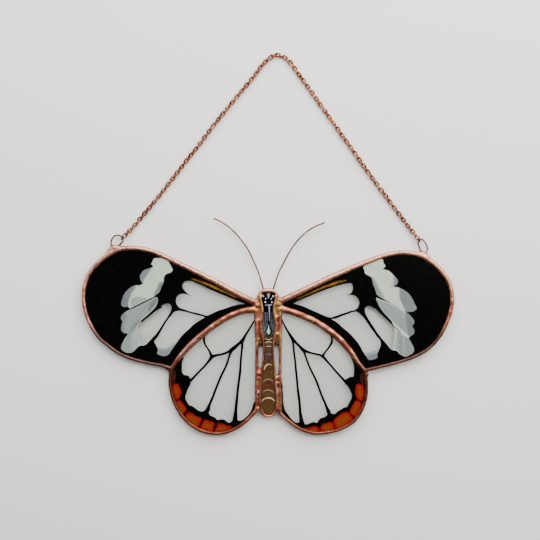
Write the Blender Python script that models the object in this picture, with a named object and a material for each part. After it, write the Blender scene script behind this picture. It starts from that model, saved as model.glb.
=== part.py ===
"""A hand-painted stained-glass butterfly that hangs in a window from a fine chain.

Five panes of clear glass have copper foil round their edges, and one net of copper-plated solder
joins them. Two bent wires are the antennae, two wire loops on the forewings carry the chain.
The butterfly lies on its back: its face looks along +Z and its head points along +Y.
Sizes are in millimetres here, and become metres when a shape is made.
"""

import math

import bmesh
import bpy
from mathutils import Vector

MM = 0.001

# Driving dimensions
GLASS_THICKNESS = 3.0
GLASS_BOTTOM = 0.7
SOLDER_HEIGHT = 4.75
GAP = 0.3
PANE_INSET = 0.5
BODY_RIM_WIDTH = 1.4
BODY_PANE_LAP = 0.35
WIRE_HEIGHT = 2.3
LOOP_WIRE_RADIUS = 0.4
ANTENNA_WIRE_RADIUS = 0.35
ANTENNA_TIP_HEIGHT = 3.4
END_LINK_RADIUS = 1.05
END_LINK_WIRE_RADIUS = 0.25
CHAIN_RADIUS = 1.0
CHAIN_HEIGHT = 1.15

# Spacing of the points along each kind of curve
WING_STEP = 3.7
BODY_STEP = 3.7
LOOP_STEP = 1.2
ANTENNA_STEP = 3.0
CHAIN_STEP = 4.6
WIRE_BEVEL_RESOLUTION = 2
SOCKET_SIDES = 8
END_LINK_SEGMENTS = 12

# Cross-section of a solder bead: across as a share of half its width, and height above the table
BEAD_PROFILE = (
    (-0.85, 0.0), (0.85, 0.0), (1.0, 0.15), (1.0, 4.2), (0.7, 4.55),
    (0.0, SOLDER_HEIGHT), (-0.7, 4.55), (-1.0, 4.2), (-1.0, 0.15),
)

# The middle line of each solder bead: x, y and the bead's width there.
# The forewing's edge runs from the body round the tip to the notch between the wings.
FOREWING_EDGE = {
    "left": (
        (-6.0, 11.6, 3.2), (-14.0, 15.4, 3.1), (-24.0, 21.0, 2.9), (-33.0, 25.6, 2.7), (-42.0, 30.0, 2.5),
        (-50.5, 34.2, 2.4), (-56.5, 36.9, 2.3), (-63.5, 38.7, 2.4), (-69.0, 39.0, 2.5), (-74.2, 38.4, 2.5),
        (-79.3, 36.1, 2.5), (-84.8, 31.7, 2.5), (-89.3, 26.5, 2.4), (-91.7, 20.1, 2.3), (-92.2, 13.1, 2.2),
        (-90.9, 6.1, 2.1), (-88.3, 0.1, 2.0), (-84.5, -5.6, 1.9), (-79.7, -9.8, 1.9), (-74.8, -13.3, 1.9),
        (-69.0, -15.9, 1.9), (-60.0, -18.3, 1.9), (-52.5, -19.7, 1.9), (-48.3, -21.1, 2.2),
    ),
    "right": (
        (6.0, 12.4, 3.2), (13.5, 15.8, 3.1), (22.0, 19.9, 2.9), (31.0, 24.2, 2.8), (41.0, 28.6, 2.7),
        (51.0, 32.7, 2.5), (59.0, 35.5, 2.4), (65.5, 36.7, 2.4), (71.0, 36.6, 2.5), (76.0, 35.4, 2.5),
        (81.2, 32.6, 2.6), (86.2, 28.1, 2.6), (90.0, 22.8, 2.5), (91.7, 17.5, 2.4), (92.0, 12.0, 2.4),
        (91.2, 7.0, 2.3), (89.6, 2.4, 2.2), (86.2, -4.4, 2.0), (81.2, -10.3, 1.9), (76.0, -13.8, 1.9),
        (70.0, -16.4, 1.9), (63.0, -18.5, 1.8), (55.5, -20.3, 1.8), (48.4, -22.0, 2.2),
    ),
}

# The seam between the wings runs from the notch to the body.
SEAM = {
    "left": (
        (-48.3, -21.1, 2.4), (-44.2, -15.4, 2.9), (-39.3, -9.9, 3.2), (-33.2, -4.4, 3.3), (-25.8, 1.3, 3.3),
        (-18.5, 5.5, 3.3), (-11.8, 7.8, 3.3), (-6.0, 8.4, 3.4),
    ),
    "right": (
        (48.4, -22.0, 2.4), (45.2, -18.2, 2.7), (40.8, -12.0, 3.1), (36.0, -6.6, 3.3), (30.8, -2.3, 3.4),
        (25.0, 1.6, 3.4), (18.5, 4.8, 3.4), (12.0, 7.2, 3.3), (6.0, 9.0, 3.4),
    ),
}

# The hindwing's outer edge runs from the notch to the tail end of the body.
HINDWING_EDGE = {
    "left": (
        (-48.3, -21.1, 2.2), (-49.0, -28.0, 1.9), (-47.7, -35.4, 1.9), (-45.3, -41.2, 1.9),
        (-41.8, -46.2, 1.9), (-37.3, -50.1, 1.9), (-32.0, -52.6, 1.9), (-26.0, -53.6, 1.9),
        (-20.0, -52.6, 1.9), (-14.0, -49.7, 1.9), (-9.3, -45.8, 1.9), (-5.9, -42.0, 2.0),
    ),
    "right": (
        (48.4, -22.0, 2.2), (49.1, -29.0, 2.0), (48.6, -36.5, 2.0), (46.4, -42.6, 1.9), (42.6, -47.7, 1.9),
        (36.5, -51.2, 1.9), (30.5, -52.9, 1.9), (24.5, -53.5, 1.9), (19.0, -52.4, 1.9), (13.6, -49.8, 1.9),
        (9.5, -46.6, 1.9), (6.2, -43.6, 2.0),
    ),
}

# The hindwing's straight side runs beside the body, from the tail end to the root.
HINDWING_SIDE = {
    "left": ((-5.9, -42.0, 2.0), (-5.7, -26.0, 1.7), (-5.6, -9.0, 1.7), (-6.0, 8.4, 2.2)),
    "right": ((6.2, -43.6, 2.0), (5.9, -26.0, 2.1), (5.9, -9.0, 2.1), (6.0, 9.0, 2.2)),
}

# The part of the body glass that shows inside its rim
BODY_OUTLINE = (
    (-1.9, 16.5), (0.25, 16.7), (2.5, 16.5), (3.3, 14.4), (3.1, 9.4), (3.6, 4.1), (3.1, -2.9),
    (2.1, -8.9), (2.2, -15.9), (2.8, -24.4), (3.6, -33.0), (4.0, -38.5), (3.7, -42.1), (2.3, -44.3),
    (0.4, -44.8), (-1.5, -44.3), (-2.8, -42.1), (-3.2, -38.5), (-3.0, -31.0), (-2.4, -23.0),
    (-1.5, -16.9), (-1.3, -11.5), (-1.8, -5.4), (-2.7, 0.6), (-2.3, 7.1), (-2.6, 14.2),
)

# Solder that fills the space between the body's rim and the wings, as wide beads.
# Beside the abdomen a slot stays open between the upper and the lower fill.
SOLDER_FILLS = {
    "head_cap": ((-2.7, 17.8, 2.6), (2.8, 17.8, 2.6)),
    "left_shoulder": ((-3.2, 17.6, 1.4), (-4.2, 13.6, 3.6), (-4.7, 10.0, 4.2), (-4.5, 5.0, 3.4),
                      (-4.3, -2.0, 2.6), (-3.9, -9.2, 2.6)),
    "right_shoulder": ((3.5, 17.4, 1.4), (4.7, 13.6, 3.4), (5.1, 10.0, 3.8), (5.0, 5.0, 3.2),
                       (4.8, -2.0, 2.6), (4.4, -8.3, 2.6)),
    "left_flank": ((-4.3, -21.0, 2.5), (-4.7, -32.0, 2.4), (-4.8, -41.2, 2.2)),
    "right_flank": ((4.6, -22.9, 2.4), (5.1, -33.0, 2.2), (5.1, -42.2, 2.4)),
    "left_notch": ((-51.6, -19.4, 2.2), (-47.9, -22.4, 2.8)),
    "right_notch": ((46.6, -20.6, 2.4), (49.4, -24.0, 2.6)),
    "left_loop_seat": ((-79.2, 38.0, 3.4), (-77.2, 39.2, 3.8), (-74.6, 39.3, 3.2)),
    "right_loop_seat": ((76.2, 36.8, 3.0), (78.4, 35.9, 3.6), (80.6, 34.2, 3.0)),
}

# Wires, from one soldered foot to the other or to the free tip
HANGING_LOOP = {
    "left": (
        (-78.3, 39.7), (-78.8, 41.6), (-78.3, 43.6), (-77.1, 45.1), (-75.4, 45.6), (-73.8, 45.1),
        (-72.9, 43.8), (-73.0, 42.4), (-74.2, 41.1), (-75.2, 39.9),
    ),
    "right": (
        (77.6, 36.9), (76.6, 38.2), (75.7, 39.9), (75.3, 41.7), (75.9, 43.1), (77.2, 43.5),
        (78.6, 42.2), (79.7, 40.2), (79.9, 38.3), (79.2, 36.4),
    ),
}
ANTENNA = {
    "left": (
        (-2.3, 18.3), (-3.3, 22.0), (-4.9, 27.2), (-7.2, 32.6), (-10.0, 38.3), (-14.0, 43.9), (-18.8, 49.0),
        (-23.6, 52.3), (-27.2, 54.0),
    ),
    "right": (
        (2.6, 18.3), (3.7, 22.0), (5.4, 26.8), (8.0, 32.0), (11.3, 38.1), (14.6, 42.6), (18.6, 46.6),
        (23.2, 49.7), (28.7, 51.9),
    ),
}

# Where the end links hold the loops, and the chain's route between them: x, y and height
END_LINK_AT = {
    "left": (-73.0, 44.1, WIRE_HEIGHT),
    "right": (75.9, 43.1, WIRE_HEIGHT),
}
CHAIN_ROUTE = (
    (-67.5, 50.2, CHAIN_HEIGHT), (-61.8, 56.9, CHAIN_HEIGHT), (-54.9, 65.3, CHAIN_HEIGHT),
    (-48.5, 73.5, CHAIN_HEIGHT), (-41.6, 82.4, CHAIN_HEIGHT), (-34.6, 91.2, CHAIN_HEIGHT),
    (-27.6, 100.6, CHAIN_HEIGHT), (-20.5, 109.4, CHAIN_HEIGHT), (-13.5, 117.9, CHAIN_HEIGHT),
    (-7.0, 125.6, CHAIN_HEIGHT), (-3.0, 131.0, CHAIN_HEIGHT), (0.6, 134.7, CHAIN_HEIGHT),
    (4.6, 136.3, CHAIN_HEIGHT), (8.3, 135.1, CHAIN_HEIGHT), (11.6, 132.0, CHAIN_HEIGHT),
    (15.4, 126.7, CHAIN_HEIGHT), (19.7, 120.7, CHAIN_HEIGHT), (24.5, 114.0, CHAIN_HEIGHT),
    (30.7, 105.2, CHAIN_HEIGHT), (37.1, 96.2, CHAIN_HEIGHT), (43.3, 87.4, CHAIN_HEIGHT),
    (49.5, 78.5, CHAIN_HEIGHT), (56.3, 69.3, CHAIN_HEIGHT), (63.1, 60.1, CHAIN_HEIGHT),
    (69.7, 51.3, CHAIN_HEIGHT),
)


def clear_scene():
    """Remove whatever the file opened with."""
    for item in list(bpy.data.objects):
        bpy.data.objects.remove(item, do_unlink=True)


def make_material(name, colour, roughness, metallic=0.0, transmission=0.0):
    """One Principled material."""
    material = bpy.data.materials.new(name)
    material.use_nodes = True
    shader = material.node_tree.nodes["Principled BSDF"]
    shader.inputs["Base Color"].default_value = (*colour, 1.0)
    shader.inputs["Roughness"].default_value = roughness
    shader.inputs["Metallic"].default_value = metallic
    shader.inputs["Transmission Weight"].default_value = transmission
    return material


def wing_glass_material():
    """Clear sheet glass; its paint is only colour."""
    return make_material("wing glass", (0.80, 0.84, 0.80), 0.03, transmission=0.95)


def body_glass_material():
    """Glass painted brown all over."""
    return make_material("body glass", (0.25, 0.16, 0.07), 0.10)


def solder_material():
    """Solder plated with copper."""
    return make_material("copper-plated solder", (0.72, 0.42, 0.32), 0.28, metallic=1.0)


def wire_material():
    """Dulled copper wire."""
    return make_material("copper wire", (0.50, 0.30, 0.22), 0.35, metallic=1.0)


def chain_material():
    """Bright copper-plated chain."""
    return make_material("copper chain", (0.70, 0.38, 0.29), 0.25, metallic=1.0)


def curve_point(before, start, end, after, share):
    """The point at `share` of the way from start to end on a centripetal Catmull-Rom curve."""
    k1 = math.sqrt((start - before).length)
    k2 = k1 + math.sqrt((end - start).length)
    k3 = k2 + math.sqrt((after - end).length)
    t = k1 + (k2 - k1) * share
    a1 = before.lerp(start, t / k1)
    a2 = start.lerp(end, (t - k1) / (k2 - k1))
    a3 = end.lerp(after, (t - k2) / (k3 - k2))
    b1 = a1.lerp(a2, t / k2)
    b2 = a2.lerp(a3, (t - k1) / (k3 - k1))
    return b1.lerp(b2, (t - k1) / (k2 - k1))


def smooth_path(points, step, closed=False):
    """Points about `step` apart on a smooth curve through the given ones."""
    given = [Vector(point) for point in points]
    count = len(given)
    path = []
    for i in range(count if closed else count - 1):
        start = given[i]
        end = given[(i + 1) % count]
        before = given[i - 1] if closed or i > 0 else start * 2 - end
        after = given[(i + 2) % count] if closed or i < count - 2 else end * 2 - start
        pieces = max(1, round((end - start).length / step))
        for k in range(pieces):
            path.append(curve_point(before, start, end, after, k / pieces))
    if not closed:
        path.append(given[-1])
    return path


def moved_outline(outline, inwards):
    """A closed 2-D outline with each side moved inwards (outwards if negative), corners mitred."""
    count = len(outline)
    area = sum(outline[i - 1].x * outline[i].y - outline[i].x * outline[i - 1].y for i in range(count))
    turn = 1.0 if area > 0 else -1.0
    result = []
    for i, point in enumerate(outline):
        into = (point - outline[i - 1]).normalized()
        out_of = (outline[(i + 1) % count] - point).normalized()
        side_before = Vector((-into.y, into.x)) * turn
        side_after = Vector((-out_of.y, out_of.x)) * turn
        mitre = (side_before + side_after) / (1.0 + side_before.dot(side_after))
        result.append(point + mitre * inwards)
    return result


def object_from_mesh(name, vertices, faces, material):
    """Make a mesh object from millimetre points, with its faces pointing out."""
    mesh = bpy.data.meshes.new(name)
    mesh.from_pydata([Vector(vertex) * MM for vertex in vertices], [], faces)
    shape = bmesh.new()
    shape.from_mesh(mesh)
    bmesh.ops.recalc_face_normals(shape, faces=shape.faces[:])
    shape.to_mesh(mesh)
    shape.free()
    mesh.materials.append(material)
    made = bpy.data.objects.new(name, mesh)
    bpy.context.scene.collection.objects.link(made)
    return made


def make_slab(name, outline, thickness, bottom, material):
    """A flat plate with the given outline, lying at height `bottom`."""
    count = len(outline)
    vertices = [(point.x, point.y, 0.0) for point in outline]
    vertices += [(point.x, point.y, thickness) for point in outline]
    faces = [tuple(range(count))[::-1], tuple(range(count, 2 * count))]
    for i in range(count):
        after = (i + 1) % count
        faces.append((i, after, count + after, count + i))
    slab = object_from_mesh(name, vertices, faces, material)
    slab.location.z = bottom * MM
    return slab


def make_bead(name, route, material, closed=False):
    """A solder bead: the profile swept along a route of x, y and width."""
    count = len(route)
    sides = len(BEAD_PROFILE)
    vertices = []
    for i, point in enumerate(route):
        before = route[i - 1] if closed or i > 0 else point
        after = route[(i + 1) % count] if closed or i < count - 1 else point
        along = Vector((after.x - before.x, after.y - before.y)).normalized()
        for across, height in BEAD_PROFILE:
            reach = across * point.z / 2
            vertices.append((point.x + along.y * reach, point.y - along.x * reach, height))
    faces = []
    for i in range(count if closed else count - 1):
        here = i * sides
        there = ((i + 1) % count) * sides
        for k in range(sides):
            after = (k + 1) % sides
            faces.append((here + k, here + after, there + after, there + k))
    if not closed:
        faces.append(tuple(range(sides)))
        faces.append(tuple(range((count - 1) * sides, count * sides))[::-1])
    return object_from_mesh(name, vertices, faces, material)


def make_wire(name, points, radius, material, closed=False):
    """A round wire through 3-D points, with closed ends."""
    curve = bpy.data.curves.new(name, "CURVE")
    curve.dimensions = "3D"
    curve.bevel_depth = radius * MM
    curve.bevel_resolution = WIRE_BEVEL_RESOLUTION
    curve.use_fill_caps = not closed
    spline = curve.splines.new("POLY")
    spline.points.add(len(points) - 1)
    for spline_point, point in zip(spline.points, points):
        spline_point.co = (*(Vector(point) * MM), 1.0)
    spline.use_cyclic_u = closed
    spline.use_smooth = True
    curve.materials.append(material)
    wire = bpy.data.objects.new(name, curve)
    bpy.context.scene.collection.objects.link(wire)
    return wire


def make_socket(name, points, radius, material):
    """A mesh tube round a wire that runs nearly level, to cut the wire's hole in the solder."""
    count = len(points)
    vertices = []
    for i, point in enumerate(points):
        before = Vector(points[max(i - 1, 0)])
        after = Vector(points[min(i + 1, count - 1)])
        along = (after - before).normalized()
        across = along.cross(Vector((0.0, 0.0, 1.0))).normalized()
        above = across.cross(along)
        for k in range(SOCKET_SIDES):
            angle = 2 * math.pi * k / SOCKET_SIDES
            vertices.append(Vector(point) + (across * math.cos(angle) + above * math.sin(angle)) * radius)
    faces = [tuple(range(SOCKET_SIDES))]
    for i in range(count - 1):
        here = i * SOCKET_SIDES
        for k in range(SOCKET_SIDES):
            after = (k + 1) % SOCKET_SIDES
            faces.append((here + k, here + after, here + SOCKET_SIDES + after, here + SOCKET_SIDES + k))
    faces.append(tuple(range((count - 1) * SOCKET_SIDES, count * SOCKET_SIDES))[::-1])
    return object_from_mesh(name, vertices, faces, material)


def as_tool(item, collection):
    """Keep an object only as an operand of the frame's Booleans."""
    item.hide_render = True
    item.display_type = "WIRE"
    bpy.context.scene.collection.objects.unlink(item)
    collection.objects.link(item)


def new_collection(name):
    """A collection that holds Boolean operands."""
    collection = bpy.data.collections.new(name)
    bpy.context.scene.collection.children.link(collection)
    return collection


def flat(route):
    """The x and y of a route."""
    return [Vector((point.x, point.y)) for point in route]


def antenna_points(route):
    """Lift an antenna's flat route from the solder to its slightly raised tip."""
    path = smooth_path(route, ANTENNA_STEP)
    last = len(path) - 1
    rise = ANTENNA_TIP_HEIGHT - WIRE_HEIGHT
    return [(point.x, point.y, WIRE_HEIGHT + rise * (i / last) ** 2) for i, point in enumerate(path)]


def loop_points(route):
    """A hanging loop's route, level at half the frame's height."""
    return [(point.x, point.y, WIRE_HEIGHT) for point in smooth_path(route, LOOP_STEP)]


def make_end_link(name, centre, towards, material):
    """A round link that stands on edge, in the plane of the chain's first stretch."""
    ring = []
    for k in range(END_LINK_SEGMENTS):
        angle = 2 * math.pi * k / END_LINK_SEGMENTS
        ring.append((END_LINK_RADIUS * math.cos(angle), 0.0, END_LINK_RADIUS * math.sin(angle)))
    link = make_wire(name, ring, END_LINK_WIRE_RADIUS, material, closed=True)
    link.location = Vector(centre) * MM
    link.rotation_euler.z = math.atan2(towards[1] - centre[1], towards[0] - centre[0])
    return link


def chain_end(link_centre, towards):
    """Where the chain starts: just clear of the end link, on the way to its next point."""
    centre = Vector(link_centre)
    direction = Vector((towards[0] - centre.x, towards[1] - centre.y, 0.0)).normalized()
    return centre + direction * (END_LINK_RADIUS + END_LINK_WIRE_RADIUS + GAP)


def wing_routes(side):
    """The bead routes round one side's wings, by name."""
    return {
        "forewing_edge": smooth_path(FOREWING_EDGE[side], WING_STEP),
        "seam": smooth_path(SEAM[side], WING_STEP),
        "hindwing_edge": smooth_path(HINDWING_EDGE[side], WING_STEP),
        "hindwing_side": smooth_path(HINDWING_SIDE[side], 2 * WING_STEP),
    }


def wing_outlines(side, routes):
    """The closed middle lines of the beads round one side's two panes, and each pane's inset."""
    seam = flat(routes["seam"])
    forewing = flat(routes["forewing_edge"])[:-1] + seam
    hindwing = seam[::-1][:-1] + flat(routes["hindwing_edge"])[:-1] + flat(routes["hindwing_side"])[:-1]
    return {
        side + "_forewing_glass": (forewing, PANE_INSET),
        side + "_hindwing_glass": (hindwing, PANE_INSET),
    }


def make_pane(name, outline, inset, glass):
    """One pane, a little smaller than the groove that holds it."""
    return make_slab(name, moved_outline(outline, inset), GLASS_THICKNESS, GLASS_BOTTOM, glass)


def make_chain(copper):
    """The chain as one plain tube from end link to end link."""
    first = chain_end(END_LINK_AT["left"], CHAIN_ROUTE[0])
    last = chain_end(END_LINK_AT["right"], CHAIN_ROUTE[-1])
    return make_wire("chain", smooth_path([first, *CHAIN_ROUTE, last], CHAIN_STEP), CHAIN_RADIUS, copper)


def make_solder_frame(beads, outlines, sockets, copper):
    """Join the beads into one net, then cut the grooves for the panes and the wires' sockets."""
    joined = new_collection("solder beads")
    cut = new_collection("grooves and sockets")
    frame = make_bead("solder_frame", beads.pop("body_rim"), copper, closed=True)
    for name, route in beads.items():
        as_tool(make_bead(name, route, copper), joined)
    for name, (outline, inset) in outlines.items():
        groove = moved_outline(outline, inset - GAP)
        thickness = GLASS_THICKNESS + 2 * GAP
        as_tool(make_slab(name + "_groove", groove, thickness, GLASS_BOTTOM - GAP, copper), cut)
    for name, (points, radius) in sockets.items():
        as_tool(make_socket(name + "_socket", points, radius + GAP, copper), cut)
    for label, operation, operands in (("join", "UNION", joined), ("cut", "DIFFERENCE", cut)):
        boolean = frame.modifiers.new(label, "BOOLEAN")
        boolean.operation = operation
        boolean.operand_type = "COLLECTION"
        boolean.collection = operands
        boolean.solver = "EXACT"
    return frame


def main():
    clear_scene()
    wing_glass = wing_glass_material()
    copper_wire = wire_material()
    copper_chain = chain_material()
    body_outline = smooth_path(BODY_OUTLINE, BODY_STEP, closed=True)
    rim = moved_outline(body_outline, -BODY_RIM_WIDTH / 2)

    beads = {"body_rim": [Vector((point.x, point.y, BODY_RIM_WIDTH)) for point in rim]}
    outlines = {}
    wires = {}
    for side in ("left", "right"):
        routes = wing_routes(side)
        for name, route in routes.items():
            beads[side + "_" + name] = route
        outlines.update(wing_outlines(side, routes))
        wires[side + "_hanging_loop"] = (loop_points(HANGING_LOOP[side]), LOOP_WIRE_RADIUS)
        wires[side + "_antenna"] = (antenna_points(ANTENNA[side]), ANTENNA_WIRE_RADIUS)
    for name, route in SOLDER_FILLS.items():
        beads[name] = smooth_path(route, WING_STEP)

    pieces = [make_pane(name, outline, inset, wing_glass) for name, (outline, inset) in outlines.items()]
    outlines["body_glass"] = (body_outline, -BODY_PANE_LAP)
    pieces.append(make_pane("body_glass", *outlines["body_glass"], body_glass_material()))
    pieces.append(make_solder_frame(beads, outlines, wires, solder_material()))
    for name, (points, radius) in wires.items():
        pieces.append(make_wire(name, points, radius, copper_wire))
    pieces.append(make_end_link("left_end_link", END_LINK_AT["left"], CHAIN_ROUTE[0], copper_chain))
    pieces.append(make_end_link("right_end_link", END_LINK_AT["right"], CHAIN_ROUTE[-1], copper_chain))
    pieces.append(make_chain(copper_chain))

    butterfly = bpy.data.objects.new("butterfly", None)
    bpy.context.scene.collection.objects.link(butterfly)
    for piece in pieces:
        piece.parent = butterfly


main()
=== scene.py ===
# %% [markdown]
# A stained-glass butterfly, dressed for its picture.
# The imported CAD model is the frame: it says where every pane, bead and wire is, in metres.
# This lesson keeps those places and gives each part its real surface: painted glass, copper-plated
# solder, wire and chain. Each step says what the real thing is, how it could be made in Blender,
# and why one way was chosen. Nothing else is read from disk.

import math

import bmesh
import bpy
import numpy as np
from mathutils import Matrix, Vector, noise
from mathutils.geometry import delaunay_2d_cdt


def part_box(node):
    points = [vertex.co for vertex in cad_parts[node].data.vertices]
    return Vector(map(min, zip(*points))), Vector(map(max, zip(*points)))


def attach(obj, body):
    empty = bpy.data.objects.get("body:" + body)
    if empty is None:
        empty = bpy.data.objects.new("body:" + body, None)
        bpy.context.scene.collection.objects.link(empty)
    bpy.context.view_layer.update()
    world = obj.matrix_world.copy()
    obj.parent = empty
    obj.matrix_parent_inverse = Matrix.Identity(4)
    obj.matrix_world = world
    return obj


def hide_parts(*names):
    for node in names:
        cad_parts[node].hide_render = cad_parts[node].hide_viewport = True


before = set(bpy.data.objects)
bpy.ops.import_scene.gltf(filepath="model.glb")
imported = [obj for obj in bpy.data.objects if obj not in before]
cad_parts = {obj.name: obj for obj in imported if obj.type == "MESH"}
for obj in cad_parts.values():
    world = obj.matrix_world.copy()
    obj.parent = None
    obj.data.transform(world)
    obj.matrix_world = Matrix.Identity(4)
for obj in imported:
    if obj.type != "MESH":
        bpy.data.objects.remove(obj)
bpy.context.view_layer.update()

# %% [markdown]
# Sizes are easier to read in millimetres, and Blender works in metres, so one constant joins the two.
# The paint and the camera are placed on the wings by a grid of half millimetres, counted from the
# upper left as on squared paper: the body's middle line is 268 squares across and the frame's origin
# is 326.25 squares down. One function turns such squares into millimetres of the frame. Two more
# turn a hex colour into Blender's linear light and put a new object into the scene.

# %% Units, colours and objects
MM = 0.001
SQUARE = 0.5
GRID_ORIGIN = (268.0, 326.25)


def on_grid(across, down):
    """Millimetres in the frame for a point given in half-millimetre squares."""
    return Vector(((across - GRID_ORIGIN[0]) * SQUARE, (GRID_ORIGIN[1] - down) * SQUARE))


def linear(hex_colour):
    """An sRGB hex colour as linear red, green, blue and alpha."""
    shares = [int(hex_colour[i:i + 2], 16) / 255 for i in (1, 3, 5)]
    return (*[s / 12.92 if s <= 0.04045 else ((s + 0.055) / 1.055) ** 2.4 for s in shares], 1.0)


def add_object(name, data):
    """A new object at the origin that shows `data`."""
    made = bpy.data.objects.new(name, data)
    bpy.context.scene.collection.objects.link(made)
    return made


# %% [markdown]
# The camera hangs straight above the table, as when someone holds it over a piece of work to take
# its picture. The picture's middle is 2 squares right of the body and above the head, and it spans
# 270 mm at the height of the glass. A long lens keeps the flat butterfly free of stretch.

# %% Camera
VIEW_CENTRE = on_grid(270, 270)
VIEW_WIDTH = 270.0
CAMERA_HEIGHT = 420.0
GLASS_TOP = 3.7

camera_data = bpy.data.cameras.new("camera")
camera_data.sensor_width = 36.0
camera_data.lens = camera_data.sensor_width * (CAMERA_HEIGHT - GLASS_TOP) / VIEW_WIDTH
camera_data.clip_start = 0.01
camera_data.clip_end = 20.0
camera = add_object("camera", camera_data)
camera.location = Vector((VIEW_CENTRE.x, VIEW_CENTRE.y, CAMERA_HEIGHT)) * MM
bpy.context.scene.camera = camera
print("camera lens in mm:", round(camera_data.lens, 1))

# %% [markdown]
# A material in Blender is a tree of nodes. One small function adds any node: the settings go on the
# node, and each value goes on an input, or is linked to it if it is another node's output. A node
# by itself stands for its first output, and a Color Ramp takes its stops as places and hex colours.
# A second function starts a material with its main shader and gives back the tree and that shader.

# %% Helpers for node trees
def add_node(tree, kind, values=None, stops=(), **settings):
    """Add one node with its settings, and set or link its inputs by name or number."""
    node = tree.nodes.new(kind)
    for name, value in settings.items():
        setattr(node, name, value)
    for key, value in (values or {}).items():
        if isinstance(value, bpy.types.Node):
            value = value.outputs[0]
        if isinstance(value, bpy.types.NodeSocket):
            tree.links.new(value, node.inputs[key])
        else:
            node.inputs[key].default_value = value
    if stops:
        while len(node.color_ramp.elements) < len(stops):
            node.color_ramp.elements.new(0.5)
        for element, (place, colour) in zip(node.color_ramp.elements, stops):
            element.position = place
            element.color = linear(colour)
    return node


def start_material(name, **values):
    """A material with one main shader, whose inputs are set by name with _ for a space."""
    material = bpy.data.materials.new(name)
    material.use_nodes = True
    shader = material.node_tree.nodes["Principled BSDF"]
    for key, value in values.items():
        shader.inputs[key.replace("_", " ")].default_value = value
    return material, material.node_tree, shader


# %% [markdown]
# The butterfly lies on a plain pale table, which belongs to the stage and not to the object.
# Soft window-like light comes from beyond the head and a little from the right, so shadows fall
# softly towards the tail and the left. Large area lights give soft shadows and long soft
# highlights along the solder. None stands straight above, where the flat glass would mirror it.

# %% Floor and light
FLOOR_SIZE = 6.0
FLOOR_HEIGHT = -0.0001
LOOKED_AT = Vector((0.0, 0.03, 0.0))
LIGHTS = {
    "window light": ((0.12, 0.42, 0.38), 0.80, 12.9, "#FFFDFA"),
    "left window": ((-0.52, 0.16, 0.40), 0.20, 1.2, "#F4F7FF"),
    "right window": ((0.56, 0.10, 0.46), 0.20, 1.4, "#FFF9F2"),
    "left fill": ((-0.95, 0.60, 0.50), 0.80, 2.4, "#F0F5FF"),
    "front fill": ((0.35, -0.85, 0.75), 0.70, 0.8, "#FFF8F0"),
}

floor_material, tree, shader = start_material(
    "pale painted table", Base_Color=linear("#E6E6E3"), Roughness=0.6, Specular_IOR_Level=0.2)
bpy.ops.mesh.primitive_plane_add(size=FLOOR_SIZE, location=(0.0, 0.0, FLOOR_HEIGHT))
floor = bpy.context.object
floor.name = "floor"
floor.data.materials.append(floor_material)

for name, (place, size, power, colour) in LIGHTS.items():
    data = bpy.data.lights.new(name, "AREA")
    data.shape = "SQUARE"
    data.size = size
    data.energy = power
    data.color = linear(colour)[:3]
    light = add_object(name, data)
    light.location = place
    light.rotation_euler = (LOOKED_AT - light.location).to_track_quat("-Z", "Y").to_euler()

world = bpy.data.worlds.new("soft room")
world.use_nodes = True
world.node_tree.nodes["Background"].inputs["Color"].default_value = linear("#F4F4F2")
world.node_tree.nodes["Background"].inputs["Strength"].default_value = 0.21
bpy.context.scene.world = world
print("lights:", list(LIGHTS))

# %% [markdown]
# Most lines here are drawn by a few points. A curve that passes through them and bends evenly,
# the centripetal Catmull-Rom curve, gives the smooth line a hand would draw between them. The same
# curve shapes the CAD solids, so the visible beads and wires lie exactly where the solids do.

# %% Smooth paths
def curve_point(before, start, end, after, share):
    """The point at `share` of the way from start to end on a centripetal Catmull-Rom curve."""
    k1 = math.sqrt((start - before).length)
    k2 = k1 + math.sqrt((end - start).length)
    k3 = k2 + math.sqrt((after - end).length)
    t = k1 + (k2 - k1) * share
    a1 = before.lerp(start, t / k1)
    a2 = start.lerp(end, (t - k1) / (k2 - k1))
    a3 = end.lerp(after, (t - k2) / (k3 - k2))
    b1 = a1.lerp(a2, t / k2)
    b2 = a2.lerp(a3, (t - k1) / (k3 - k1))
    return b1.lerp(b2, (t - k1) / (k2 - k1))


def smooth_path(points, step, closed=False):
    """Points about `step` apart on a smooth curve through the given ones."""
    given = [Vector(point) for point in points]
    count = len(given)
    path = []
    for i in range(count if closed else count - 1):
        start = given[i]
        end = given[(i + 1) % count]
        before = given[i - 1] if closed or i > 0 else start * 2 - end
        after = given[(i + 2) % count] if closed or i < count - 2 else end * 2 - start
        pieces = max(1, round((end - start).length / step))
        path += [curve_point(before, start, end, after, k / pieces) for k in range(pieces)]
    return path if closed else [*path, given[-1]]


def widened(outline, outwards):
    """A closed flat outline with each side moved outwards."""
    count = len(outline)
    area = sum(b.x * a.y - a.x * b.y for a, b in zip(outline, outline[-1:] + outline[:-1]))
    turn = 1.0 if area > 0 else -1.0
    result = []
    for i, point in enumerate(outline):
        into = (point - outline[i - 1]).normalized()
        out_of = (outline[(i + 1) % count] - point).normalized()
        side_before = Vector((-into.y, into.x)) * turn
        side_after = Vector((-out_of.y, out_of.x)) * turn
        corner = (side_before + side_after) / (1.0 + side_before.dot(side_after))
        result.append(point - corner * outwards)
    return result
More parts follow.
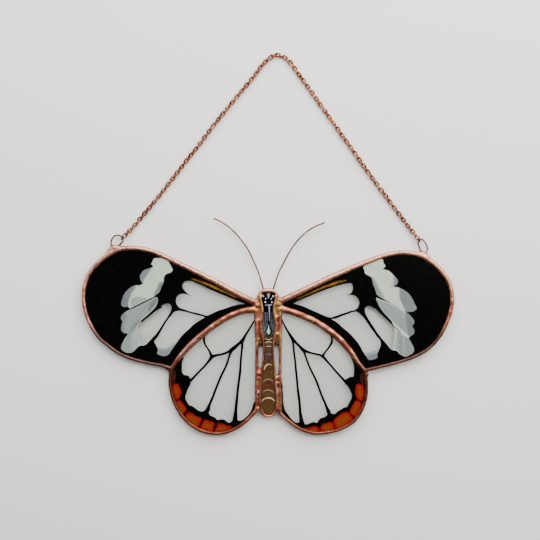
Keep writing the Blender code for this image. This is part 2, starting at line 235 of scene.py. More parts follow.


# %% [markdown]
# Every wire is a curve with a round bevel, and every finished piece is a plain mesh, so one
# function bends a curve and another turns it into its mesh. A third hands the piece over: it says
# which body carries it and which CAD solid it stands for.

# %% Wires and pieces
def curve_object(name, points, radius=0.0):
    """A curve object through millimetre points: a bare line, or a round wire with closed ends."""
    curve = bpy.data.curves.new(name, "CURVE")
    curve.dimensions = "3D"
    curve.twist_mode = "Z_UP"
    curve.bevel_depth = radius * MM
    curve.bevel_resolution = 4
    curve.use_fill_caps = radius > 0
    spline = curve.splines.new("POLY")
    spline.points.add(len(points) - 1)
    for spline_point, point in zip(spline.points, points):
        spline_point.co = (*(Vector(point) * MM), 1.0)
    spline.use_smooth = True
    return add_object(name, curve)


def plain_mesh(item, name, material=None):
    """The evaluated shape of an object as a plain mesh object; the first one is removed."""
    bpy.context.view_layer.update()
    evaluated = item.evaluated_get(bpy.context.evaluated_depsgraph_get())
    mesh = bpy.data.meshes.new_from_object(evaluated)
    mesh.name = name
    bpy.data.objects.remove(item, do_unlink=True)
    if material:
        mesh.materials.clear()
        mesh.materials.append(material)
    return add_object(name, mesh)


def hand_over(piece, node):
    """Let a finished piece ride on the butterfly in place of a CAD solid."""
    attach(piece, "root")
    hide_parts(node)
    return piece


def bent_wire(name, points, radius, material, node):
    """A finished wire through millimetre points."""
    line = curve_object(name + " line", points, radius)
    return hand_over(plain_mesh(line, name, material), node)


# %% [markdown]
# The chain is a fine copper-plated cable chain: oval links about 3.5 mm long and 2.5 mm wide, bent
# from 0.8 mm wire, each turned a quarter round from the last. Its finish is bright, a little
# worn, and warmer than the solder because it is real copper plate over brass.
# Copper's colour comes from its metal reflection, so the material is fully metallic and only its
# tint and roughness wander, at the size of a single link. Every wire here gets its finish this way.

# %% Chain material
def plated_wire(name, patch_mm, stops, rough, bump_mm):
    """Copper-plated wire whose tint and roughness wander over patches of about `patch_mm`."""
    material, tree, shader = start_material(name, Metallic=1.0)
    place = add_node(tree, "ShaderNodeTexCoord").outputs["Object"]
    patches = add_node(tree, "ShaderNodeTexNoise", {
        "Vector": place, "Scale": 1 / (patch_mm * MM), "Detail": 4.0, "Roughness": 0.6})
    colour = add_node(tree, "ShaderNodeValToRGB", {"Fac": patches}, stops)
    roughness = add_node(tree, "ShaderNodeMapRange", {
        "Value": patches, "From Min": 0.3, "From Max": 0.7, "To Min": rough[0], "To Max": rough[1]})
    grain = add_node(tree, "ShaderNodeTexNoise", {
        "Vector": place, "Scale": 3 / (patch_mm * MM), "Detail": 3.0})
    bump = add_node(tree, "ShaderNodeBump", {
        "Height": grain, "Strength": 0.6, "Distance": bump_mm * MM})
    for node, socket in ((colour, "Base Color"), (roughness, "Roughness"), (bump, "Normal")):
        tree.links.new(node.outputs[0], shader.inputs[socket])
    return material


chain_copper = plated_wire(
    "bright copper-plated chain", 2.4, [(0.30, "#42201A"), (0.50, "#84472F"), (0.72, "#D8966C")],
    (0.18, 0.34), 0.02)
print("chain material:", chain_copper.name)

# %% [markdown]
# The chain's route repeats the CAD tube's: it leaves the left end link, climbs to the apex where it
# hangs from a nail or a suction cup, and comes down to the right end link. Its links repeat along a
# path, which is work for Geometry Nodes: the path is cut into steps of one link, and an oval wire
# ring is set on each step, every second one turned by a quarter. No link of a chain that lies on a
# table stands quite upright, so all of them lean, and small seeded turns let each lean differently.

# %% Chain route
CHAIN_HEIGHT = 1.22
WIRE_HEIGHT = 2.3
END_LINK_RADIUS = 1.05
END_LINK_WIRE = 0.5
END_LINK_AT = {"left": (-73.0, 44.1, WIRE_HEIGHT), "right": (75.9, 43.1, WIRE_HEIGHT)}
CHAIN_POINTS = (
    (-67.5, 50.2), (-61.8, 56.9), (-54.9, 65.3), (-48.5, 73.5), (-41.6, 82.4), (-34.6, 91.2),
    (-27.6, 100.6), (-20.5, 109.4), (-13.5, 117.9), (-7.0, 125.6), (-3.0, 131.0), (0.6, 134.7),
    (4.6, 136.3), (8.3, 135.1), (11.6, 132.0), (15.4, 126.7), (19.7, 120.7), (24.5, 114.0),
    (30.7, 105.2), (37.1, 96.2), (43.3, 87.4), (49.5, 78.5), (56.3, 69.3), (63.1, 60.1), (69.7, 51.3),
)
LINK_LENGTH = 3.47
LINK_WIDTH = 2.5
LINK_WIRE = 0.80
LINK_PITCH = LINK_LENGTH - 2 * LINK_WIRE

chain_inner = [Vector((x, y, CHAIN_HEIGHT)) for x, y in CHAIN_POINTS]


def end_link_place(side):
    """The middle of an end link, and the flat direction from it to the chain."""
    centre = Vector(END_LINK_AT[side])
    towards = chain_inner[0 if side == "left" else -1] - centre
    return centre, Vector((towards.x, towards.y, 0.0)).normalized()


def chain_start(side):
    """The middle of the first link: its end holds the end link's wire."""
    centre, flat = end_link_place(side)
    return centre + flat * (END_LINK_RADIUS + LINK_LENGTH / 2 - LINK_WIRE - END_LINK_WIRE / 2)


chain_ends = chain_start("left"), chain_start("right")
chain_route = smooth_path([chain_ends[0], *chain_inner, chain_ends[1]], 1.0)
chain_length = sum((b - a).length for a, b in zip(chain_route, chain_route[1:]))
link_count = 2 * round(chain_length / LINK_PITCH / 2) + 1
print("chain length in mm:", round(chain_length, 1), "links:", link_count)

# %% Chain links by Geometry Nodes
LINK_INPUTS = {
    "Links": link_count, "Link Length": LINK_LENGTH * MM, "Link Width": LINK_WIDTH * MM,
    "Wire Thickness": LINK_WIRE * MM, "Lean": 0.50, "Loose Turn": 0.24, "Seed": 7,
}

tree = bpy.data.node_groups.new("cable chain", "GeometryNodeTree")
tree.is_modifier = True
tree.interface.new_socket("Geometry", in_out="INPUT", socket_type="NodeSocketGeometry")
SOCKET_KINDS = {int: "NodeSocketInt", float: "NodeSocketFloat"}
link_sockets = {
    name: tree.interface.new_socket(name, in_out="INPUT", socket_type=SOCKET_KINDS[type(value)])
    for name, value in LINK_INPUTS.items()}
tree.interface.new_socket("Geometry", in_out="OUTPUT", socket_type="NodeSocketGeometry")

given = tree.nodes.new("NodeGroupInput").outputs
index = tree.nodes.new("GeometryNodeInputIndex")
inner_length, inner_width, wire_radius, odd, least, most = (
    add_node(tree, "ShaderNodeMath", {0: first, 1: second}, operation=operation)
    for first, operation, second in (
        (given["Link Length"], "SUBTRACT", given["Wire Thickness"]),
        (given["Link Width"], "SUBTRACT", given["Wire Thickness"]),
        (given["Wire Thickness"], "MULTIPLY", 0.5),
        (index, "MODULO", 2.0),
        (given["Lean"], "SUBTRACT", given["Loose Turn"]),
        (given["Lean"], "ADD", given["Loose Turn"])))

corner = add_node(tree, "ShaderNodeMath", {0: inner_width, 1: 0.49}, operation="MULTIPLY")
oval = add_node(tree, "GeometryNodeCurvePrimitiveQuadrilateral", {
    "Width": inner_width, "Height": inner_length}, mode="RECTANGLE")
rounded = add_node(tree, "GeometryNodeFilletCurve", {"Curve": oval, "Radius": corner}, mode="POLY")
rounded.inputs["Count"].default_value = 2
section = add_node(tree, "GeometryNodeCurvePrimitiveCircle", {
    "Resolution": 6, "Radius": wire_radius}, mode="RADIUS")
wire = add_node(tree, "GeometryNodeCurveToMesh", {"Curve": rounded, "Profile Curve": section})
along = add_node(tree, "GeometryNodeTransform", {
    "Geometry": wire, "Rotation": (math.pi / 2, 0.0, 0.0)})

steps = add_node(tree, "GeometryNodeCurveToPoints", {
    "Curve": given["Geometry"], "Count": given["Links"]}, mode="COUNT")
quarter = add_node(tree, "ShaderNodeMath", {0: odd, 1: math.pi / 2}, operation="MULTIPLY")
loose = add_node(tree, "FunctionNodeRandomValue", {
    "ID": index, "Seed": given["Seed"], 2: least, 3: most}, data_type="FLOAT")
turn = add_node(tree, "ShaderNodeMath", {0: quarter, 1: loose.outputs[1]}, operation="ADD")
spin = add_node(tree, "FunctionNodeAxisAngleToRotation", {"Axis": (0.0, 0.0, 1.0), "Angle": turn})
facing = add_node(tree, "FunctionNodeRotateRotation", {
    0: steps.outputs["Rotation"], 1: spin}, rotation_space="LOCAL")
links = add_node(tree, "GeometryNodeInstanceOnPoints", {
    "Points": steps, "Instance": along, "Rotation": facing})
realized = add_node(tree, "GeometryNodeRealizeInstances", {"Geometry": links})
smooth = add_node(tree, "GeometryNodeSetShadeSmooth", {"Geometry": realized})
coloured = add_node(tree, "GeometryNodeSetMaterial", {"Geometry": smooth, "Material": chain_copper})
add_node(tree, "NodeGroupOutput", {"Geometry": coloured})

chain_line = curve_object("chain line", chain_route)
chain_modifier = chain_line.modifiers.new("links", "NODES")
chain_modifier.node_group = tree
for name, value in LINK_INPUTS.items():
    chain_modifier[link_sockets[name].identifier] = value
chain = hand_over(plain_mesh(chain_line, "fine_cable_chain"), "chain")
print("chain faces:", len(chain.data.polygons))

# %% [markdown]
# An end link joins the chain to each wire loop. It is a jump ring: a ring of wire cut once, opened
# sideways, hooked in and pressed shut again, so a hair-line cut stays. It stands on edge in the plane
# of the chain's first stretch. A curve with a round bevel makes such a wire, with closed ends.

# %% End links
RING_CUT = 0.10
RING_POINTS = 40

ring_copper = plated_wire(
    "dark copper-plated ring", 2.0, [(0.30, "#3E1A12"), (0.52, "#74382A"), (0.72, "#A86450")],
    (0.28, 0.44), 0.02)

for side in ("left", "right"):
    centre, flat = end_link_place(side)
    ring = []
    for k in range(RING_POINTS + 1):
        angle = math.pi / 2 + RING_CUT + (2 * math.pi - 2 * RING_CUT) * k / RING_POINTS
        ring.append(centre + flat * END_LINK_RADIUS * math.cos(angle)
                    + Vector((0.0, 0.0, END_LINK_RADIUS * math.sin(angle))))
    bent_wire(
        side + "_jump_ring", ring, END_LINK_WIRE / 2, ring_copper, side + "_end_link")

# %% [markdown]
# The antennae and the two hanging loops are soft wire, bent by hand round pliers and plated together
# with the solder. They are duller and browner than the chain: the plating bath leaves thin wire
# matt, and fingers darken it. Their feet are drowned in solder, so a wire only has to start inside it.
# An antenna rises slowly towards its tip, because a free wire never lies quite flat.

# %% Antennae and loops
WIRE_RADIUS = 0.4
ANTENNA_TIP_HEIGHT = 3.4
HANGING_LOOP = {
    "left": ((-78.3, 39.7), (-78.8, 41.6), (-78.3, 43.6), (-77.1, 45.1), (-75.4, 45.6), (-73.8, 45.1),
             (-72.9, 43.8), (-73.0, 42.4), (-74.2, 41.1), (-75.2, 39.9)),
    "right": ((77.6, 36.9), (76.6, 38.2), (75.7, 39.9), (75.3, 41.7), (75.9, 43.1), (77.2, 43.5),
              (78.6, 42.2), (79.7, 40.2), (79.9, 38.3), (79.2, 36.4)),
}
ANTENNA = {
    "left": ((-2.3, 18.3), (-3.3, 22.0), (-4.9, 27.2), (-7.2, 32.6), (-10.0, 38.3), (-14.0, 43.9),
             (-18.8, 49.0), (-23.6, 52.3), (-27.2, 54.0)),
    "right": ((2.6, 18.3), (3.7, 22.0), (5.4, 26.8), (8.0, 32.0), (11.3, 38.1), (14.6, 42.6),
              (18.6, 46.6), (23.2, 49.7), (28.7, 51.9)),
}

wire_copper = plated_wire(
    "dulled copper-plated wire", 3.0, [(0.30, "#402618"), (0.52, "#6C4233"), (0.72, "#9A6A52")],
    (0.34, 0.50), 0.03)
loop_copper = plated_wire(
    "browned copper wire", 2.0, [(0.30, "#301C18"), (0.52, "#583A34"), (0.72, "#866058")],
    (0.30, 0.48), 0.03)

for side in ("left", "right"):
    loop = [(x, y, WIRE_HEIGHT) for x, y in smooth_path(HANGING_LOOP[side], 0.4)]
    bent_wire(
        side + "_wire_loop", loop, WIRE_RADIUS, loop_copper, side + "_hanging_loop")

    flat_route = smooth_path(ANTENNA[side], 0.8)
    rise = ANTENNA_TIP_HEIGHT - WIRE_HEIGHT
    last = len(flat_route) - 1
    feeler = [(x, y, WIRE_HEIGHT + rise * (i / last) ** 2) for i, (x, y) in enumerate(flat_route)]
    piece = bent_wire(
        side + "_wire_antenna", feeler, WIRE_RADIUS, wire_copper, side + "_antenna")
    print(side, "antenna:", len(piece.data.polygons), "faces")

# %% [markdown]
# The wings are clear 3 mm sheet glass, cut to shape, ground at the edge and hand-painted on the
# face. The main shader's transmission does all of it, with no tricks of light paths, so light also
# reaches the table through the clear cells. Sheet glass has an index of about 1.52. The 1.46 used
# here mirrors a little less, and so keeps the cells as bright as the real ones.

# %% Clear glass
GLASS_INDEX = 1.46
CLEAR_TINT = "#FDFFFC"

clear_glass, tree, shader = start_material(
    "clear sheet glass", Base_Color=linear(CLEAR_TINT), IOR=GLASS_INDEX, Roughness=0.0,
    Transmission_Weight=0.94)
print("glass index:", GLASS_INDEX)

# %% [markdown]
# Five paints are on the wings. The black is a gloss enamel that covers fully. The white is a milky
# glass paint, dabbed on with a soft brush and streaky: some dabs are white, some thin and grey, and
# towards the body it is brushed out to nothing. The grey is partly painted shade: the shaded table
# under the pane, as seen through thin paint. So its shader runs from paint to clear glass as the
# point attribute "cover" says, from grey to white as "tone" says, and streaks follow the wing. A
# second milky paint, more bluish, ends the clear windows.
# The amber stripe and the orange-red cells are transparent paints, darker red where the brush left
# a rim, which the attribute "rim", the distance from the cell's outline in millimetres, gives.

# %% Wing paints
def mottled_enamel(name, stops, scale, detail=4.0, roughness=0.25, level=0.25):
    """A gloss enamel whose colour wanders over brush marks, `scale` of them a metre."""
    material, tree, shader = start_material(
        name, Roughness=roughness, IOR=1.5, Specular_IOR_Level=level)
    place = add_node(tree, "ShaderNodeTexCoord").outputs["Object"]
    mottle = add_node(tree, "ShaderNodeTexNoise", {"Vector": place, "Scale": scale, "Detail": detail})
    colour = add_node(tree, "ShaderNodeValToRGB", {"Fac": mottle}, stops)
    tree.links.new(colour.outputs[0], shader.inputs["Base Color"])
    return material


def milky_glass_paint(name, stops):
    """A milky paint: from clear glass to paint by "cover", and along its colours by "tone"."""
    material, tree, shader = start_material(name, IOR=GLASS_INDEX)
    place = add_node(tree, "ShaderNodeTexCoord").outputs["Object"]
    sides = add_node(tree, "ShaderNodeSeparateXYZ", {"Vector": place}).outputs
    from_middle = add_node(tree, "ShaderNodeMath", {0: sides["X"]}, operation="ABSOLUTE")
    mirrored = add_node(tree, "ShaderNodeCombineXYZ", {
        "X": from_middle, "Y": sides["Y"], "Z": sides["Z"]})
    brushed = add_node(tree, "ShaderNodeMapping", {
        "Vector": mirrored, "Rotation": (0.0, 0.0, math.radians(-45)),
        "Scale": (0.0085, 0.0008, 0.01)}, vector_type="TEXTURE")
    streaks = add_node(tree, "ShaderNodeTexNoise", {"Vector": brushed, "Scale": 1.0, "Detail": 4.0})
    tone, cover = (add_node(tree, "ShaderNodeAttribute", attribute_name=label).outputs["Fac"]
                   for label in ("tone", "cover"))
    streaky = add_node(tree, "ShaderNodeMapRange", {
        "Value": streaks, "From Min": 0.3, "From Max": 0.7, "To Min": -0.08, "To Max": 0.08})
    tone = add_node(tree, "ShaderNodeMath", {0: tone, 1: streaky}, operation="ADD", use_clamp=True)
    paint = add_node(tree, "ShaderNodeValToRGB", {"Fac": tone}, stops)
    tinted = add_node(tree, "ShaderNodeMix", {
        0: cover, 6: linear(CLEAR_TINT), 7: paint}, data_type="RGBA")
    thin = add_node(tree, "ShaderNodeMath", {0: 1.0, 1: cover}, operation="SUBTRACT", use_clamp=True)
    gloss = add_node(tree, "ShaderNodeMapRange", {"Value": cover, "To Min": 0.0, "To Max": 0.3})
    tree.links.new(tinted.outputs[2], shader.inputs["Base Color"])
    tree.links.new(thin.outputs[0], shader.inputs["Transmission Weight"])
    tree.links.new(gloss.outputs[0], shader.inputs["Roughness"])
    return material


def glass_paint(name, stops, deep_mm, mottle_mm):
    """A transparent colour that changes from the rim of its cell to the middle."""
    material, tree, shader = start_material(
        name, Roughness=0.15, IOR=GLASS_INDEX, Specular_IOR_Level=0.3)
    rim = add_node(tree, "ShaderNodeAttribute", attribute_name="rim").outputs["Fac"]
    place = add_node(tree, "ShaderNodeTexCoord").outputs["Object"]
    mottle = add_node(tree, "ShaderNodeTexNoise", {
        "Vector": place, "Scale": 1 / (mottle_mm * MM), "Detail": 4.0})
    wander = add_node(tree, "ShaderNodeMapRange", {
        "Value": mottle, "From Min": 0.3, "From Max": 0.7, "To Min": -0.5, "To Max": 0.5})
    depth = add_node(tree, "ShaderNodeMath", {0: rim, 1: wander}, operation="ADD")
    share = add_node(tree, "ShaderNodeMapRange", {
        "Value": depth, "From Min": 0.0, "From Max": deep_mm})
    colour = add_node(tree, "ShaderNodeValToRGB", {"Fac": share}, stops)
    tree.links.new(colour.outputs[0], shader.inputs["Base Color"])
    return material


black_enamel = mottled_enamel(
    "gloss black enamel", [(0.35, "#000000"), (0.75, "#030403")], 260.0, detail=3.0, roughness=0.16,
    level=0.12)
# Its grey stops are partly painted shade: the shaded table seen through thin paint.
milky_paint = milky_glass_paint(
    "milky white glass paint",
    [(0.0, "#464C50"), (0.35, "#646B6B"), (0.7, "#838F86"), (1.0, "#A5B4A0")])
bluish_paint = milky_glass_paint(
    "bluish white glass paint", [(0.0, "#50575A"), (0.5, "#7A8386"), (1.0, "#9AA6A8")])
orange_paint = glass_paint(
    "orange-red glass paint",
    [(0.0, "#48060A"), (0.28, "#7C060A"), (0.58, "#6A1E0B"), (1.0, "#6A2D0C")], 1.9, 1.6)
dark_red_paint = glass_paint("dark red glass paint", [(0.0, "#280B08"), (1.0, "#46190F")], 0.9, 1.2)
amber_paint = glass_paint(
    "amber glass paint", [(0.0, "#3A210D"), (0.45, "#5C3F0F"), (1.0, "#7E5E14")], 0.9, 1.8)
print("paints:", [paint.name for paint in (
    black_enamel, milky_paint, bluish_paint, orange_paint, dark_red_paint, amber_paint)])

# %% [markdown]
# The paint lies flush on the glass, far thinner than a hair, so it isn't raised: the front face of
# each pane is cut along the paint's outlines, and each patch of faces takes its own material.
# A constrained Delaunay triangulation does the cutting. It takes all outlines at once, keeps them as
# edges, and fills the rest with triangles, and each triangle then takes the topmost patch of paint
# that it lies in. Points sown inside the patches carry the attributes of the soft paints.
# Hand-drawn edges tremble a little, and a smooth noise gives each outline such a tremble.
# That noise starts from the clock unless it gets a seed, and a fixed one keeps every run the same.

# %% Outlines of paint
PAINT_STEP = 0.35
TREMBLE = 0.06
TREMBLES_PER_MM = 0.9
noise.seed_set(7)


def trembled(outline):
    """Move each point of a closed outline a little, as an unsteady hand would."""
    return [point + Vector(noise.noise_vector(Vector((*point, 0.0)) * TREMBLES_PER_MM)[:2]) * TREMBLE
            for point in outline]


def patch(points):
    """A closed patch of paint from grid points."""
    return trembled(smooth_path([on_grid(*point) for point in points], PAINT_STEP, closed=True))


def stroke(points, swell=1.25):
    """One brush line from grid points with widths in squares, as a closed outline."""
    wide = [(*on_grid(across, down), width * SQUARE * swell) for across, down, width in points]
    route = smooth_path(wide, PAINT_STEP)
    left, right = [], []
    for i, point in enumerate(route):
        ahead = route[min(i + 1, len(route) - 1)] - route[max(i - 1, 0)]
        side = Vector((-ahead.y, ahead.x)).normalized() * (point.z / 2)
        left.append(Vector((point.x, point.y)) + side)
        right.append(Vector((point.x, point.y)) - side)
    return trembled(left + right[::-1])


def inside(points, outline):
    """Which of the points lie in a closed outline, by counting crossings."""
    x, y = points[:, 0:1], points[:, 1:2]
    a = np.array([tuple(point) for point in outline])
    b = np.roll(a, -1, axis=0)
    crosses = (a[:, 1] > y) != (b[:, 1] > y)
    rise = np.where(b[:, 1] == a[:, 1], 1.0, b[:, 1] - a[:, 1])
    at = a[:, 0] + (y - a[:, 1]) * (b[:, 0] - a[:, 0]) / rise
    return (crosses & (x < at)).sum(axis=1) % 2 == 1


def distance(points, outline, at_once=2000):
    """How far each point lies from a closed outline."""
    a = np.array([tuple(point) for point in outline])
    span = np.roll(a, -1, axis=0) - a
    length = np.maximum((span ** 2).sum(axis=1), 1e-12)
    nearest = []
    for start in range(0, len(points), at_once):
        part = points[start:start + at_once, None, :] - a
        share = np.clip((part * span).sum(axis=2) / length, 0.0, 1.0)
        nearest.append(np.sqrt(((part - share[..., None] * span) ** 2).sum(axis=2)).min(axis=1))
    return np.concatenate(nearest) if nearest else np.zeros(0)


# %% [markdown]
# A pane is made in three steps, a function each: its outline is walked on the CAD solid, the front
# is cut and closed to a slab of glass, and the soft paints' attributes are worked out at its points.

# %% Cutting a painted pane
SOWN_STEP = 0.42
ROW_SHARE = 0.87
SOWN_MARGIN = 0.2
NO_RIM = 5.0


def pane_outline(node):
    """The front outline of a CAD pane in millimetres, in order."""
    shape = bmesh.new()
    shape.from_mesh(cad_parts[node].data)
    bmesh.ops.remove_doubles(shape, verts=shape.verts[:], dist=1e-6)
    after = {}
    for edge in shape.edges:
        fronts = [face for face in edge.link_faces if face.normal.z > 0.9]
        if len(fronts) == 1:
            for loop in edge.link_loops:
                if loop.face is fronts[0]:
                    after[loop.vert] = loop.link_loop_next.vert
    start = vertex = next(iter(after))
    outline = []
    while not outline or vertex is not start:
        outline.append(Vector((vertex.co.x / MM, vertex.co.y / MM)))
        vertex = after[vertex]
    shape.free()
    return outline


def sown_points(line):
    """Points in staggered rows inside an outline, clear of its edge."""
    corners = np.array([tuple(point) for point in line])
    across = np.arange(corners[:, 0].min(), corners[:, 0].max(), SOWN_STEP)
    down = np.arange(corners[:, 1].min(), corners[:, 1].max(), SOWN_STEP * ROW_SHARE)
    grid = np.array([(x + (k % 2) * SOWN_STEP / 2, y) for k, y in enumerate(down) for x in across])
    kept = inside(grid, line) & (distance(grid, line) > SOWN_MARGIN)
    return [Vector((float(x), float(y))) for x, y in grid[kept]]


def cut_slab(name, outline, patches, sown, materials, low, high):
    """A slab of glass between two heights, with its front cut along every patch's outline."""
    points, edges = [], []
    for line in (outline, *[item[0] for item in patches]):
        first, count = len(points), len(line)
        points += line
        edges += [(first + i, first + (i + 1) % count) for i in range(count)]
    for line in sown:
        points += sown_points(line)
    flat, _, faces, _, _, _ = delaunay_2d_cdt(points, edges, [], 0, 1e-4)
    flat = np.array([tuple(point) for point in flat])
    faces = np.array([tuple(face) for face in faces])
    faces = faces[inside(flat[faces].mean(axis=1), outline)]
    middles = flat[faces].mean(axis=1)
    of_face = np.zeros(len(faces), int)
    for line, material, *window in patches:
        held = inside(middles, line)
        for frame_line in window:
            held &= inside(middles, frame_line)
        of_face[held] = materials.index(material)

    shape = bmesh.new()
    vertices = [shape.verts.new((x * MM, y * MM, high)) for x, y in flat]
    for face, index in zip(faces, of_face):
        a, b, c = (flat[i] for i in face)
        turned = (b[0] - a[0]) * (c[1] - a[1]) - (b[1] - a[1]) * (c[0] - a[0]) < 0
        made = shape.faces.new([vertices[i] for i in (face[::-1] if turned else face)])
        made.material_index = int(index)
    loose = [vertex for vertex in shape.verts if not vertex.link_faces]
    bmesh.ops.delete(shape, geom=loose, context="VERTS")
    rim_edges = [edge for edge in shape.edges if len(edge.link_faces) == 1]
    walls = bmesh.ops.extrude_edge_only(shape, edges=rim_edges)["geom"]
    for item in walls:
        if isinstance(item, bmesh.types.BMVert):
            item.co.z = low
    lower = [item for item in walls if isinstance(item, bmesh.types.BMEdge) and all(
        vertex.co.z == low for vertex in item.verts)]
    back = bmesh.ops.edgeloop_fill(shape, edges=lower)["faces"]
    for face in [*back, *[item for item in walls if isinstance(item, bmesh.types.BMFace)]]:
        face.material_index = materials.index(clear_glass) if clear_glass in materials else 0
    bmesh.ops.recalc_face_normals(shape, faces=shape.faces[:])
    mesh = bpy.data.meshes.new(name)
    shape.to_mesh(mesh)
    shape.free()
    for material in materials:
        mesh.materials.append(material)
    return mesh


def add_attributes(mesh, patches, dabs):
    """Write at each point how far its cell's rim is, how well it is covered, and how white it is."""
    spots = np.zeros(len(mesh.vertices) * 3)
    mesh.vertices.foreach_get("co", spots)
    spots = spots.reshape(-1, 3)[:, :2] / MM
    rim = np.full(len(spots), NO_RIM)
    for line, material, *_ in patches:
        if material in (orange_paint, amber_paint, dark_red_paint):
            rim = np.minimum(rim, distance(spots, line))
    cover = np.zeros(len(spots))
    tone = np.ones(len(spots))
    for line, strength, shade, soft in dabs:
        held = inside(spots, line)
        part = np.clip(distance(spots[held], line) / soft, 0.0, 1.0)
        part = part * part * (3 - 2 * part)
        cover[held] = strength * part + cover[held] * (1 - part)
        tone[held] = tone[held] * (1 - part) + shade * part
    for label, values in (("rim", rim), ("cover", cover), ("tone", tone)):
        attribute = mesh.attributes.new(label, "FLOAT", "POINT")
        attribute.data.foreach_set("value", values.astype(np.float32))


def painted_pane(node, name, base, patches, sown=(), dabs=(), outline=None):
    """A pane in place of a CAD one. A patch is an outline, a material and maybe a window it ends at."""
    low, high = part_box(node)
    materials = list(dict.fromkeys([base, *[item[1] for item in patches]]))
    mesh = cut_slab(name, outline or pane_outline(node), patches, sown, materials, low.z, high.z)
    add_attributes(mesh, patches, dabs)
    print(name, "faces:", len(mesh.polygons), "materials:", [material.name for material in materials])
    return hand_over(add_object(name, mesh), node)


# %% [markdown]
# The forewings are black with windows, as on a clearwing butterfly. Each window's outline is a list
# of grid points. On the left wing a white patch leans from the front edge towards the tip; a second
# one below it, parted by a hair-fine vein, runs into a clear window; two more clear windows follow.

# %% Left forewing paint
LEFT_WHITE = patch((
    (153.3, 259), (155, 258), (160, 257.9), (164, 259), (168, 261), (170, 264), (172, 268),
    (172.8, 270), (171, 272.5), (168, 273.5), (165.3, 275), (164.3, 277), (163.8, 280), (163, 284),
    (161.3, 287), (160.3, 290), (159, 292.5), (156, 294.8), (154, 296.6), (150, 298.6), (145, 301),
    (140, 303.5), (134, 306.6), (130, 308.4), (128, 306.8), (124, 307), (121.5, 305.5), (121, 303),
    (122, 299), (123, 296), (125.5, 292), (128, 289.5), (132, 286.5), (136, 285.3), (140, 285),
    (143, 283.2), (141, 281.5), (140, 278), (139.8, 276), (141, 273.5), (143, 271), (146, 269.3),
    (150, 268), (153, 267), (152, 265), (151, 264), (152.5, 261.5)))
LEFT_SECOND = patch((
    (156.8, 297.3), (158, 299.3), (157.6, 303), (158, 306.5), (160, 307), (163, 304.8), (167, 303.3),
    (170, 304.3), (171.6, 307), (171, 310.5), (167.6, 316.6), (163.4, 322.8), (159.2, 329.6),
    (156, 334), (153, 337), (151, 339.5), (149, 341.5), (146, 344.5), (143, 345.6), (140, 345.8),
    (138, 347), (136, 349), (134, 351), (131, 352.8), (127, 352.8), (124, 351.5), (121.5, 349.5),
    (121, 347), (122, 344), (124, 340), (126, 336.5), (128, 333.8), (127, 333.3), (124, 333),
    (122, 331.5), (121, 329), (121.5, 325), (122.5, 321), (121.3, 320), (121, 317), (123, 314),
    (126, 311.5), (129, 310), (134, 307.9), (140, 304.9), (145, 302.4), (150, 299.9), (154, 297.9)))
LEFT_THIRD = patch((
    (171.5, 315.5), (173, 313), (176, 311.3), (180, 310.8), (185, 311.8), (192, 313.8), (199, 315.5),
    (204.5, 317.3), (201, 319.5), (197, 322), (193, 325), (189, 329), (184, 333.5), (180, 338),
    (177, 342), (174, 346.5), (171, 351), (169, 354), (166, 355.8), (163.5, 356.2), (160, 355.3),
    (157.5, 354), (157, 353), (157.8, 350.5), (157.5, 348), (156, 345), (154.5, 342), (155, 340),
    (157, 338), (160, 333), (163, 327.5), (166, 322.5), (169, 318)))
LEFT_FOURTH = patch((
    (184.5, 281.8), (187, 281), (191, 281), (197, 283.5), (203, 286), (210, 289.5), (216, 292),
    (222, 294.5), (230, 297.8), (235, 300), (240, 302), (245, 304), (240, 304.3), (235, 305.3),
    (230, 306.7), (225, 308.5), (220, 310), (215, 312), (210, 314.5), (207, 315.6), (203, 314.6),
    (197, 313), (190, 311.3), (184, 309.2), (180, 308), (178, 306), (176.3, 303), (176, 299),
    (177.5, 296), (180, 294.3), (183, 293.8), (187, 294.5), (191.5, 296.8), (189, 294.5), (186, 292),
    (183.5, 289), (182.3, 286), (183, 283.5)))
LEFT_VEIN = stroke(((160, 305.2, 5.5), (156.8, 308.4, 2.8), (150, 314.3, 1.9), (141, 321.8, 1.5)))
LEFT_AMBER = stroke((
    (191, 278.4, 0.7), (195, 279.8, 1.7), (200, 281.5, 2.0), (205, 283.4, 2.1), (210, 285.5, 2.1),
    (215, 287.6, 2.1), (220, 289.9, 2.0), (225, 292.1, 1.8), (230, 294.5, 1.5), (235, 296.9, 1.1),
    (238, 298.2, 0.7)))
LEFT_THIRD_END = patch((
    (152, 342), (157.5, 345.6), (163, 346.6), (168, 345.6), (173, 342.5), (178, 342), (174, 352),
    (168, 360), (156, 358), (150, 352)))
